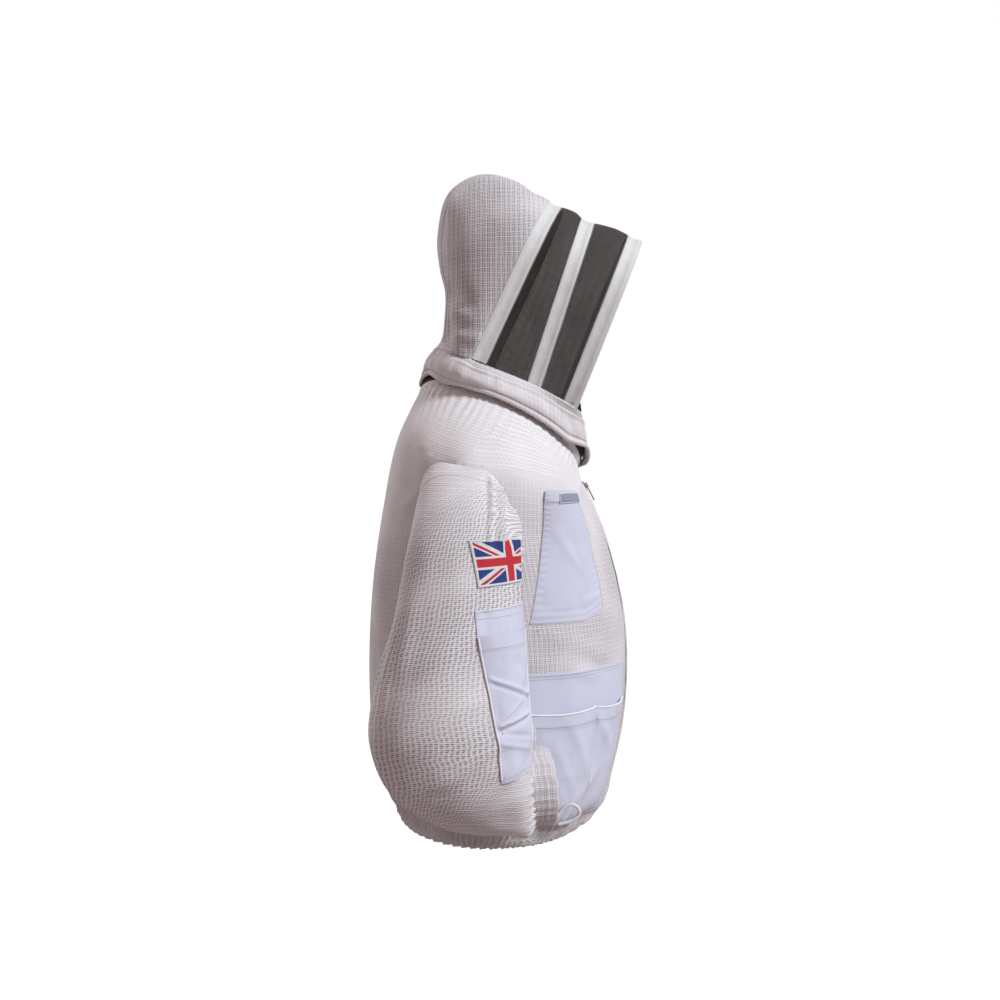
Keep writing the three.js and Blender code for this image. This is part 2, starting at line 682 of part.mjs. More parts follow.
// The front of the veil hangs flat inside the front hoop and pouches forward over the chin.
function faceMesh() {
  const hoop = HOOPS[2];
  const chin = 16;
  const surface = (across, height) => {
    const side = THREE.MathUtils.clamp(Math.abs(across), 0, 1);
    const edge = hoopPoint(hoop, 0);
    const tall = (1 - side ** HOOP_SQUARE) ** (1 / HOOP_SQUARE);
    const full = hoopPoint(hoop, 0.5).sub(V(0, edge.y, edge.z));
    const cap = HOOP_CAP / full.length();
    const climb = height * (1 - cap + cap * tall - 0.02);
    const width = 1 - hoop.pinch * Math.max(0, 1 - climb / (1 - cap)) ** 2;
    const pouch = chin * (1 - side * side) * (1 - height) ** 2;
    return V(
      across * (hoop.half - 4) * width,
      edge.y + full.y * climb - pouch,
      edge.z + full.z * climb - pouch * 0.4,
    );
  };
  return sheet(surface, span(-1, 1, 0.01, 1), 10, 6, -VEIL, 0);
}

// The hood's middle line from the collar at the nape, over the crown, to the rear hoop.
const HOOD_PROFILE = new THREE.CatmullRomCurve3([
  V(0, 98, 112), V(0, 87, 136), V(0, 84, 170), V(0, 84, 205), V(0, 92, 240), V(0, 94, 295),
  V(0, 82, 347), V(0, 54, 374), V(0, 18, 382), V(0, -20, 370), V(0, -44, 353), V(0, -64, 345),
  V(0, -77, 337),
]);
const HOOD_TOP_SHARE = 0.462; // how far up the rear hoop the last row of the hood starts

// height: 0 at the collar, 1 at the rear hoop's crown. turn: 90 right, 180 behind, 270 left.
function hoodShell(height, turn) {
  const start = hoopPoint(HOOPS[0], height * HOOD_TOP_SHARE);
  start.addScaledVector(VEIL_AXIS, -TAPE_WIDTH / 2 - BUTT);
  const behind = Math.max(0, -Math.cos(degToRad(turn)));
  const middle = HOOD_PROFILE.getPointAt(THREE.MathUtils.clamp(height, 0, 1));
  return V(
    start.x * Math.sin(degToRad(turn)),
    lerp(start.y, middle.y, behind),
    lerp(start.z, middle.z, behind),
  );
}

const GUSSET_TURN = 155; // the middle gusset reaches from here to the same turn on the left

function hoodSide() {
  return sheet(hoodShell, span(0.004, 0.99, 90, GUSSET_TURN - 0.2), 12, 6, -AIRMESH, 0);
}

function hoodGusset() {
  return sheet(hoodShell, span(0.004, 0.99, GUSSET_TURN + 0.2, 360 - GUSSET_TURN - 0.2), 14, 4, -AIRMESH, 0);
}

// ---------------------------------------------------------------- collar

// The collar's upper edge passes just outside the feet of the hoops.
const COLLAR_TOP = [
  V(0, -125, 14), V(-117, -110, 26), V(-131, -50, 54), V(-134, 34, 86), V(-88, 88, 108),
  V(0, 102, 112), V(88, 88, 108), V(134, 34, 86), V(131, -50, 54), V(117, -110, 26),
];
const COLLAR_RING = new THREE.CatmullRomCurve3(COLLAR_TOP, true);

const sideways = (turn) => Math.sin(degToRad(turn)) ** 2;
const collarStand = (turn) => lerp(turn > 90 && turn < 270 ? 4.5 : 13, 13, sideways(turn));

function collarPoints(turn) {
  const low = neckPoint(turn, lerp(8, -1, sideways(turn)), collarStand(turn));
  const high = COLLAR_RING.getPoint((((turn % 360) + 360) % 360) / 360);
  return { low, high };
}

// height: 0 at the lower fold over the neck zip, 1 at the upper edge.
function collar(height, turn) {
  const { low, high } = collarPoints(turn);
  const out = V(low.x, low.y, 0).normalize();
  const bulge = lerp(7, 12, sideways(turn));
  const lower = low.clone().lerp(high, 0.3).addScaledVector(out, bulge);
  const upper = low.clone().lerp(high, 0.7).addScaledVector(out, bulge * 0.8);
  return through([low, lower, upper, high], height);
}

// The lining joins the zip's upper tape to the inside of the collar.
function lining(height, turn) {
  const { high } = collarPoints(turn);
  const low = neckPoint(turn, ZIP_TAPE + 1, 0);
  const out = V(low.x, low.y, 0).normalize();
  return low.lerp(high.addScaledVector(out, -9), height);
}

function addHood(hood) {
  addPair(hood, 'hood_side', hoodSide(), 'airmesh');
  add(hood, 'hood_gusset', hoodGusset(), 'airmesh');
  addPair(hood, 'collar', sheet(collar, span(0, 1, 0.9, 179.4), 4, 16, -AIRMESH, 0), 'airmesh');
  addPair(hood, 'collar_lining', sheet(lining, span(0, 0.8, 2.6, 179), 1, 16, -COTTON, 0), 'cotton');
  HOOPS.forEach((hoop, i) => {
    add(hood, `hoop_tape_${i + 1}`, hoopStrip(hoop, 0, TAPE_WIDTH / 2, 0, 1.2), 'tape');
    add(hood, `hoop_boning_${i + 1}`, hoopStrip(hoop, 0, 3.5, -2.2, -0.5), 'boning');
  });
  add(hood, 'veil_rear', tunnelMesh(HOOPS[0], HOOPS[1]), 'veil');
  add(hood, 'veil_front', tunnelMesh(HOOPS[1], HOOPS[2]), 'veil');
  add(hood, 'veil_face', faceMesh(), 'veil');
}

function addBody(jacket) {
  add(jacket, 'back_panel', backPanel(), 'airmesh');
  addPair(jacket, 'front_panel', frontPanel(), 'airmesh');
  add(jacket, 'hem_casing', hemCasing(), 'airmesh');
  add(jacket, 'hem_elastic', hemElastic(), 'elastic');
  add(jacket, 'storm_flap', stormFlap(), 'airmesh');
  add(jacket, 'hang_loop', hangLoop(), 'tape');
  add(jacket, 'chest_pocket', chestPocket(), 'cotton');
  add(jacket, 'chest_label', chestLabel(), 'label');
  addPair(jacket, 'lower_pocket', lowerPocket(), 'cotton');
  addPair(jacket, 'lower_pocket_facing', lowerPocketFacing(), 'cotton');
}

const jacket = new THREE.Group();
const hood = new THREE.Group();
const sleeveRight = new THREE.Group();
const sleeveLeft = new THREE.Group();
const whole = new THREE.Group();
whole.add(jacket, hood, sleeveRight, sleeveLeft);
addBody(jacket);
addHood(hood);
addZips(jacket, hood);
addSleeves(sleeveRight, sleeveLeft);

export default whole;
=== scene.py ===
# The looks of the ventilated beekeeping jacket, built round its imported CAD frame.
# Lengths are in millimetres until a mesh is made. +Z is up, the wearer faces -Y, and the
# wearer's right side is -X, as in the frame.
import math

import bpy
import numpy as np
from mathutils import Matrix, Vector
from mathutils.bvhtree import BVHTree


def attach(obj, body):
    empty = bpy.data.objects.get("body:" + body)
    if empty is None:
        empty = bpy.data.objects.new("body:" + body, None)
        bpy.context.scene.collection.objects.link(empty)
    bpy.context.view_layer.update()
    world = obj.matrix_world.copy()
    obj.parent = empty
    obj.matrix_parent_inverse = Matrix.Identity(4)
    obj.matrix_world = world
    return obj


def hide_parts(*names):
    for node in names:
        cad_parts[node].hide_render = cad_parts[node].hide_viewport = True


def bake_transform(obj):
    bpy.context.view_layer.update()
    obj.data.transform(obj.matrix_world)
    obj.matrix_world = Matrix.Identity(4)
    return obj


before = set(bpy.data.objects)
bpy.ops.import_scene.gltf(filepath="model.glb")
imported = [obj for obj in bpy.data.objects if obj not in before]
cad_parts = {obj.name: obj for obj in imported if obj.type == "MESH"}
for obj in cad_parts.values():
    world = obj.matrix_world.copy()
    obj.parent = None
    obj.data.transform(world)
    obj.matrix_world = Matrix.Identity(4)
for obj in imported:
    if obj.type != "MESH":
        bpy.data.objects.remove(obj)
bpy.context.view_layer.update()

# ------------------------------------------------------------------ camera, floor and light

CAMERA_TURN, CAMERA_RISE = math.radians(270.0), math.radians(0.5)
CAMERA_AIM, CAMERA_REACH = Vector((0.0, 0.0, -0.108)), 2.02
CAMERA_LENS, SENSOR_WIDTH, CLIP_END = 48.0, 36.0, 100.0
FLOOR_LEVEL, FLOOR_REACH = -1.45, 30.0
SEEN_COLOUR, FILL_COLOUR, FILL_STRENGTH = (1.0, 1.0, 1.0), (1.0, 0.80, 0.77), 0.35
FLOOR_COLOUR, FLOOR_GLOW = (0.35, 0.345, 0.35), 0.72


def linked(name, data):
    obj = bpy.data.objects.new(name, data)
    bpy.context.scene.collection.objects.link(obj)
    return obj


def aim(obj, direction):
    obj.rotation_mode = "QUATERNION"
    obj.rotation_quaternion = Vector(direction).to_track_quat("-Z", "Y")


def add_camera():
    level = math.cos(CAMERA_RISE)
    back = Vector(
        (math.sin(CAMERA_TURN) * level, -math.cos(CAMERA_TURN) * level, math.sin(CAMERA_RISE))
    )
    data = bpy.data.cameras.new("camera")
    data.lens = CAMERA_LENS
    data.sensor_width = SENSOR_WIDTH
    data.clip_end = CLIP_END
    camera = linked("camera", data)
    camera.location = CAMERA_AIM + back * CAMERA_REACH
    aim(camera, -back)
    bpy.context.scene.camera = camera


def add_sun(name, direction, strength, softness, colour):
    data = bpy.data.lights.new(name, "SUN")
    data.energy = strength
    data.angle = math.radians(softness)
    data.color = colour
    aim(linked(name, data), direction)


def add_world():
    """The camera sees a white background, while a dimmer and warmer one fills the shadows."""
    world = bpy.data.worlds.new("studio")
    bpy.context.scene.world = world
    world.use_nodes = True
    tree = world.node_tree
    tree.nodes.clear()
    path = tree.nodes.new("ShaderNodeLightPath")
    mix = tree.nodes.new("ShaderNodeMixShader")
    out = tree.nodes.new("ShaderNodeOutputWorld")
    tree.links.new(path.outputs["Is Camera Ray"], mix.inputs[0])
    for place, colour, strength in ((1, FILL_COLOUR, FILL_STRENGTH), (2, SEEN_COLOUR, 1.0)):
        background = tree.nodes.new("ShaderNodeBackground")
        background.inputs["Color"].default_value = (*colour, 1.0)
        background.inputs["Strength"].default_value = strength
        tree.links.new(background.outputs[0], mix.inputs[place])
    tree.links.new(mix.outputs[0], out.inputs[0])


def add_floor():
    """A plain pale floor, whose glow doesn't light the jacket from below."""
    mesh = bpy.data.meshes.new("floor")
    signs = ((-1, -1), (1, -1), (1, 1), (-1, 1))
    corners = [(x * FLOOR_REACH, y * FLOOR_REACH, FLOOR_LEVEL) for x, y in signs]
    mesh.from_pydata(corners, [], [(0, 1, 2, 3)])
    floor = linked("floor", mesh)
    material = bpy.data.materials.new("floor")
    material.use_nodes = True
    shader = material.node_tree.nodes["Principled BSDF"]
    shader.inputs["Base Color"].default_value = (*FLOOR_COLOUR, 1.0)
    shader.inputs["Roughness"].default_value = 0.9
    shader.inputs["Emission Color"].default_value = (1.0, 1.0, 1.0, 1.0)
    shader.inputs["Emission Strength"].default_value = FLOOR_GLOW
    shader.inputs["Specular IOR Level"].default_value = 0.0
    mesh.materials.append(material)
    floor.visible_diffuse = False
    floor.visible_glossy = False


bpy.context.scene.view_settings.view_transform = "Standard"
add_camera()
add_world()
add_floor()
add_sun("key", (0.47, 0.66, -0.62), 3.05, 14.0, (0.885, 0.955, 1.0))
add_sun("back", (-0.72, -0.54, -0.44), 1.35, 30.0, (0.90, 0.955, 1.0))

# ------------------------------------------------------------------ numbers and noise

lerp = lambda a, b, t: a + (b - a) * t
clamp = lambda x, low=0.0, high=1.0: np.minimum(np.maximum(x, low), high)


def smooth(low, high, x):
    t = clamp((x - low) / (high - low))
    return t * t * (3 - 2 * t)


def hump(x, middle=0.0, width=1.0, power=2):
    """1 at the middle, falling smoothly to 0 on both sides."""
    return np.exp(-(((x - middle) / width) ** power))


def arch(share, power=1.0):
    """0 at both ends and 1 halfway."""
    return np.sin(np.pi * clamp(share)) ** power


def ripple(phase):
    """A wave with round crests and tighter valleys."""
    return 1 - 2 * np.abs(np.sin(phase / 2)) ** 1.4


def vec(x, y, z):
    return np.stack(np.broadcast_arrays(x, y, z), axis=-1).astype(float)


def unit(v):
    return v / np.maximum(np.linalg.norm(v, axis=-1, keepdims=True), 1e-9)


def spread(rows, columns):
    """Two grids: the rows' value and the columns' value at each place."""
    return np.meshgrid(rows, columns, indexing="ij")


def together(*values):
    return np.broadcast_arrays(*(np.asarray(value, float) for value in values))


LATTICE = np.random.default_rng(11).random(4096)
LATTICE_STEPS = (73856093, 19349663, 83492791)
SEED_STEP = 17.31


def noise(points, size, seed=0.0):
    """Smooth noise from -1 to 1, whose lumps are about size wide. size may differ by axis."""
    q = points / np.array(size, float) + seed * SEED_STEP
    cell = np.floor(q).astype(np.int64)
    part = q - cell
    part = part * part * (3 - 2 * part)
    total = np.zeros(points.shape[:-1])
    for corner in np.ndindex(2, 2, 2):
        at = (cell + np.array(corner)) * np.array(LATTICE_STEPS)
        key = at[..., 0] ^ at[..., 1] ^ at[..., 2]
        weight = np.prod(np.where(np.array(corner) == 1, part, 1 - part), axis=-1)
        total += LATTICE[key % len(LATTICE)] * weight
    return total * 2 - 1


# ------------------------------------------------------------------ curves


def run_of(line):
    """The distance along a line of points."""
    return np.concatenate([[0], np.cumsum(np.linalg.norm(np.diff(line, axis=0), axis=-1))])


def read_off(at, run, values):
    return np.stack([np.interp(at, run, values[:, k]) for k in range(3)], axis=-1)


def through(points, share):
    """A smooth curve through points, each an array like share with a last axis of 3."""
    share = np.asarray(share, float)
    ctrl = [np.broadcast_to(np.asarray(p, float), share.shape + (3,)) for p in points]
    ctrl = np.stack([2 * ctrl[0] - ctrl[1]] + ctrl + [2 * ctrl[-1] - ctrl[-2]])
    inside = clamp(share)
    step = 0.01
    anchor = np.where(inside == share, inside, np.where(inside == 0, step, 1 - step))

    def at(t):
        place = t * (len(points) - 1)
        first = np.minimum(np.floor(place).astype(int), len(points) - 2)
        w = (place - first)[..., None]
        pick = lambda k: np.take_along_axis(ctrl, (first + k)[None, ..., None], axis=0)[0]
        x0, x1, x2, x3 = pick(0), pick(1), pick(2), pick(3)
        gap = lambda a, b: ((b - a) ** 2).sum(-1, keepdims=True) ** 0.25
        or_else = lambda d, other: np.where(d < 1e-4, other, d)
        d1 = or_else(gap(x1, x2), 1.0)
        d0 = or_else(gap(x0, x1), d1)
        d2 = or_else(gap(x2, x3), d1)
        t1 = ((x1 - x0) / d0 - (x2 - x0) / (d0 + d1) + (x2 - x1) / d1) * d1
        t2 = ((x2 - x1) / d1 - (x3 - x1) / (d1 + d2) + (x3 - x2) / d2) * d1
        c2 = -3 * x1 + 3 * x2 - 2 * t1 - t2
        c3 = 2 * x1 - 2 * x2 + t1 + t2
        return x1 + t1 * w + c2 * w**2 + c3 * w**3

    end = at(inside)
    outside = (np.abs(share - inside) / step)[..., None]
    return end + (end - at(anchor)) * outside


def through_ring(points, share):
    count = len(points)
    ring = [points[(k - 2) % count] for k in range(count + 5)]
    return through(ring, (np.mod(share, 1.0) * count + 2) / (len(ring) - 1))


# ------------------------------------------------------------------ the jacket's own surfaces

ZIP_TAPE, BUTT = 13.5, 0.5
NECK_FRONT, NECK_SIDE, NECK_BACK = (0, -116, -55), (-135, 0, 48), (0, 118, 56)
FRONT_ZIP = {"y": 386.0, "z": -353.0, "radius": 576.0, "top": -72.0, "bottom": -562.0}
LEAN_FADE = 30.0


def arc_through(a, b, c):
    a, b, c = (np.array(p, float) for p in (a, b, c))
    ab, ac = b - a, c - a
    axis = np.cross(ab, ac)
    to_centre = (np.cross(axis, ab) * (ac @ ac) + np.cross(ac, axis) * (ab @ ab)) / (2 * axis @ axis)
    radius = np.linalg.norm(to_centre)
    axis, start = unit(axis), -to_centre / radius
    side = np.cross(axis, start)
    end = c - a - to_centre
    sweep = math.atan2(end @ side, end @ start) % (2 * math.pi)
    frame_of_arc = {"centre": a + to_centre, "axis": axis, "start": start, "side": side}
    return {**frame_of_arc, "radius": radius, "sweep": sweep}


ARC = arc_through(NECK_FRONT, NECK_SIDE, NECK_BACK)


def neck(turn, across=0.0, out=0.0):
    """A point of the neck seam. turn: 0 at the throat, 90 on the wearer's right, 180 at the nape."""
    turn, across, out = together(turn, across, out)
    wrapped = np.mod(turn, 360)
    left = wrapped > 180
    angle = np.where(left, 360 - wrapped, wrapped) / 180 * ARC["sweep"]
    radial = np.cos(angle)[..., None] * ARC["start"] + np.sin(angle)[..., None] * ARC["side"]
    point = ARC["centre"] + radial * ARC["radius"]
    up = np.broadcast_to(-ARC["axis"], point.shape).copy()
    up[..., 0] *= np.minimum(1, np.abs(point[..., 0]) / LEAN_FADE)
    point = point + radial * out[..., None] + up * across[..., None]
    point[..., 0] = np.where(left, -point[..., 0], point[..., 0])
    return point


def on_front_zip(z):
    return FRONT_ZIP["y"] - np.sqrt(FRONT_ZIP["radius"] ** 2 - (z - FRONT_ZIP["z"]) ** 2)


def ring_of(front_z, back, side, front_y=None):
    return ((on_front_zip(front_z) if front_y is None else front_y, front_z), back, side)


# Each ring of the body: its front's height, its back's (y, z) and its side's (half width, y, z).
BODY_RINGS = [
    ring_of(-592, (147, -584), (182, 18, -590), -112),
    ring_of(-570, (151, -563), (190, 12, -569), -138),
    ring_of(-545, (168, -540), (203, 8, -545)),
    ring_of(-500, (187, -500), (207, 6, -503)),
    ring_of(-420, (196, -425), (207, 5, -425)),
    ring_of(-290, (196, -293), (205, 5, -293)),
    ring_of(-160, (180, -140), (212, 12, -160)),
    ring_of(-95, (152, -8), (236, 26, -62)),
]
RINGS = len(BODY_RINGS)
HEM_TOP = 1 / RINGS


def ring_point(ring, turn):
    angle = np.radians(turn)
    forward = np.cos(angle)
    front, back, (half, side_y, side_z) = ring
    end_y = np.where(forward > 0, front[0], back[0])
    end_z = np.where(forward > 0, front[1], back[1])
    y, z = lerp(side_y, end_y, np.abs(forward)), lerp(side_z, end_z, forward * forward)
    return vec(-half * np.sin(angle), y, z)


def body(height, turn):
    """height: 0 at the hem's edge and 1 at the neck zip's tape. turn: as round the neck."""
    height, turn = together(height, turn)
    points = [ring_point(ring, turn) for ring in BODY_RINGS]
    return through(points + [neck(turn, -ZIP_TAPE - BUTT)], height)


ARMHOLE = {"turn": 102.0, "height": 6.03 / RINGS, "half": 0.97 / RINGS, "front": 25.0, "back": 27.0}
ARMHOLE_SQUARE = 3.2
NECK_SEAM_TURN = 84.0


def side_seam(height):
    top = ARMHOLE["height"] + ARMHOLE["half"]
    return lerp(ARMHOLE["turn"], NECK_SEAM_TURN, clamp((height - top) / (1 - top)))


def armhole_spread(height):
    offset = np.abs(height - ARMHOLE["height"]) / ARMHOLE["half"]
    return clamp(1 - offset**ARMHOLE_SQUARE) ** (1 / ARMHOLE_SQUARE)


def front_edge(height):
    return np.degrees(np.arcsin((ZIP_TAPE + BUTT) / -body(height, 90.0)[..., 0]))


# Each ring of the sleeve: its front's and back's (y, z), its middle's x, its half width and its tilt.
SLEEVE_RINGS = [
    ((-27, -205), (128, -205), 255, 45, 88),
    ((-29, -275), (142, -275), 275, 62, 42),
    ((-36, -345), (163, -352), 284, 72, 8),
    ((-42, -388), (170, -420), 288, 75, 0),
    ((-46, -405), (150, -476), 287, 73, 0),
    ((-47, -414), (98, -520), 283, 68, 0),
    ((-46, -420), (34, -543), 276, 61, 0),
    ((-45, -425), (-20, -550), 268, 54, 0),
    ((-43, -429), (-37, -547), 264, 47, 0),
    ((-39, -434), (-48, -532), 261, 42, 0),
]


def sleeve_ring(ring, turn):
    front, back, x, half, tilt = ring
    forward, outward = np.cos(np.radians(turn)) / 2, np.sin(np.radians(turn))
    y = (front[0] + back[0]) / 2 + (front[0] - back[0]) * forward
    z = (front[1] + back[1]) / 2 + (front[1] - back[1]) * forward + tilt * outward
    return vec(-x - half * outward, y, z)


def armhole_point(turn):
    """The body's own point round the armhole, whose corners are square."""
    up, forward = np.sin(np.radians(turn)), np.cos(np.radians(turn))
    size = (np.abs(up) ** ARMHOLE_SQUARE + np.abs(forward) ** ARMHOLE_SQUARE) ** (-1 / ARMHOLE_SQUARE)
    reach = np.where(forward > 0, ARMHOLE["front"], ARMHOLE["back"])
    height = ARMHOLE["height"] + ARMHOLE["half"] * up * size
    return body(height, ARMHOLE["turn"] - reach * forward * size)


def sleeve(turn, along):
    """turn: 0 at the front of the arm, 90 outside, 180 behind. along: 0 at the armhole."""
    turn, along = together(turn, along)
    rings = [sleeve_ring(ring, turn) for ring in SLEEVE_RINGS]
    return through([armhole_point(turn)] + rings, along)


# ------------------------------------------------------------------ meshes

MM = 0.001
SIDES = ("right", "left")
OTHER_SIDE = np.array([-1, 1, 1])


def mirror(grid):
    """The same sheet on the wearer's other side, still facing out."""
    return grid[:, ::-1] * OTHER_SIDE


def mirror_rows(grid):
    return grid[::-1] * OTHER_SIDE


def normals(grid):
    return unit(np.cross(np.gradient(grid, axis=0), np.gradient(grid, axis=1)))


def outward(surface, u, v, step_u, step_v):
    along_u = surface(u + step_u, v) - surface(u - step_u, v)
    along_v = surface(u, v + step_v) - surface(u, v - step_v)
    return unit(np.cross(along_u, along_v))


def spans(grid):
    """Distances along the cloth down each column and along each row, as a flat pattern."""
    down = np.linalg.norm(np.diff(grid, axis=0), axis=-1)
    over = np.linalg.norm(np.diff(grid, axis=1), axis=-1)
    u = np.concatenate([np.zeros((1, grid.shape[1])), np.cumsum(down, axis=0)])
    v = np.concatenate([np.zeros((grid.shape[0], 1)), np.cumsum(over, axis=1)], axis=1)
    return u, v


def pattern(grid, datum):
    """The cloth's own coordinates: measured along the datum column and out from it along each row."""
    u, v = spans(grid)
    return np.broadcast_to(u[:, datum, None], v.shape), v - v[:, datum, None]


def level_pattern(grid, flat=False):
    """The cloth's own coordinates, one of them its level in the frame and the other along its rows.

    flat takes the way forward in the frame in place of the length along the rows.
    """
    v = spans(grid)[1]
    return grid[..., 2], grid[..., 1] if flat else v - v[:, grid.shape[1] // 2, None]


def mesh_of(name, points, faces, material, uv=None, sharp=40.0):
    mesh = bpy.data.meshes.new(name)
    mesh.from_pydata((points.reshape(-1, 3) * MM).tolist(), [], faces)
    mesh.shade_smooth()
    mesh.set_sharp_from_angle(angle=math.radians(sharp))
    if uv is not None:
        layer = mesh.uv_layers.new(name="cloth")
        corner = np.zeros(len(mesh.loops), np.int32)
        mesh.loops.foreach_get("vertex_index", corner)
        layer.data.foreach_set("uv", (uv.reshape(-1, 2)[corner] * MM).astype(np.float32).ravel())
    mesh.materials.append(material)
    return linked(name, mesh)


def quads(at):
    """The faces of a grid of vertex numbers."""
    return np.stack([at[:-1, :-1], at[1:, :-1], at[1:, 1:], at[:-1, 1:]], axis=-1).reshape(-1, 4)


def rim_of(grid):
    """The grid's edge, once round."""
    return np.concatenate([grid[0, :], grid[1:, -1], grid[-1, -2::-1], grid[-2:0:-1, 0]])


def sheet_faces(rows, columns):
    """Faces of a closed sheet: the outer grid, the inner grid after it, and the rim."""
    count = rows * columns
    at = np.arange(count).reshape(rows, columns)
    outer, loop = quads(at), rim_of(at)
    after = np.roll(loop, -1)
    rim = np.stack([loop, after, after + count, loop + count], axis=-1)
    return np.concatenate([outer, outer[:, ::-1] + count, rim]).tolist()


def cloth(name, grid, thickness, material, datum=None, uv=None):
    """A closed sheet whose outside is grid, with du x dv pointing out of it."""
    inside = grid - normals(grid) * thickness
    u, v = uv or pattern(grid, grid.shape[1] // 2 if datum is None else datum)
    faces = sheet_faces(*grid.shape[:2])
    coordinates = np.stack([np.stack([v, u], axis=-1)] * 2)
    return mesh_of(name, np.stack([grid, inside]), faces, material, coordinates)


def swept(name, line, across, up, section, material, sharp, around=None):
    """A closed bar: section, its offsets across and up, carried along a line of points.

    around is how far round the section each of its corners is, for the cloth's coordinates.
    """
    ring = line[:, None] + across[:, None] * section[:, :1] + up[:, None] * section[:, 1:]
    at = np.arange(len(line) * len(section)).reshape(len(line), len(section))
    faces = quads(np.concatenate([at, at[:, :1]], axis=1)).tolist()
    faces += [at[0, ::-1].tolist(), at[-1].tolist()]
    uv = None if around is None else np.stack(np.meshgrid(around, run_of(line)), axis=-1)
    return mesh_of(name, ring, faces, material, uv, sharp)


def tube(name, line, radius, material, sides=8):
    along = unit(np.gradient(line, axis=0))
    across = unit(np.cross(along, (0.31, 0.42, 0.85)))
    angle = np.linspace(0, 2 * np.pi, sides, endpoint=False)
    section = radius * np.stack([np.cos(angle), np.sin(angle)], axis=-1)
    up = np.cross(along, across)
    return swept(name, line, across, up, section, material, 70.0, around=angle * radius)


def band(name, line, side, width, thickness, material, corners=12):
    """A flat band along a line, wide along the direction side."""
    side = np.broadcast_to(np.array(side, float), line.shape)
    face = unit(np.cross(unit(np.gradient(line, axis=0)), side))
    angle = np.linspace(0, 2 * np.pi, corners, endpoint=False)
    squared = lambda x: np.sign(x) * np.abs(x) ** 0.6
    section = np.stack([squared(np.cos(angle)) * width, squared(np.sin(angle)) * thickness], axis=-1) / 2
    return swept(name, line, side, face, section, material, 60.0)


def area_of(grid):
    a = np.cross(grid[1:, :-1] - grid[:-1, :-1], grid[:-1, 1:] - grid[:-1, :-1])
    return float(np.linalg.norm(a, axis=-1).sum()) * MM * MM


def declare(grid):
    """Works out what the sheet was cut to, from the length of its middle row and column and its area, but
    passes none of it on.
    """
    u, v = spans(grid)
    high = round(float(u[-1].max()) * MM, 4)
    wide = round(float(v[:, -1].max()) * MM, 4)
    area = min(area_of(grid), 0.999 * wide * high)
    area = round(max(area, 0.31 * wide * high), 6)


SLEEVE_BLEND_START, SLEEVE_BLEND_END = (-0.2415, 0.0, -0.2415), (-0.345, 0.0, -0.345)


def show(obj, body_name, nodes=(), sleeve_side=None):
    """Puts a finished piece on its body. A sleeve's piece only has its placement fixed into its mesh, and is
    not put on its body.
    """
    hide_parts(*nodes)
    if sleeve_side is None:
        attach(obj, body_name)
        return
    start, end = Vector(SLEEVE_BLEND_START), Vector(SLEEVE_BLEND_END)
    if sleeve_side == "left":
        start.x, end.x = -start.x, -end.x
    "sleeve_" + sleeve_side
    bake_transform(obj)


def sheet(
    name, grid, thickness, material, body_name, slot, nodes, held, rests_on,
    cut=None, sleeve_side=None, **coordinates,
):
    """A piece of cloth on its body. cut is the grid it was cut to, where the shown one is turned."""
    obj = cloth(name, grid, thickness, material, **coordinates)
    show(obj, body_name, nodes, sleeve_side)
    declare(grid if cut is None else cut)
    return obj


# ------------------------------------------------------------------ materials


class Value:
    """A number that nodes work out, with ordinary arithmetic."""

    def __init__(self, look, socket):
        self.look = look
        self.socket = socket

    def __add__(self, other):
        return self.look.math("ADD", self, other)

    def __sub__(self, other):
        return self.look.math("SUBTRACT", self, other)

    def __rsub__(self, other):
        return self.look.math("SUBTRACT", other, self)

    def __mul__(self, other):
        return self.look.math("MULTIPLY", self, other)

    def __truediv__(self, other):
        return self.look.math("DIVIDE", self, other)

    __radd__ = __add__
    __rmul__ = __mul__


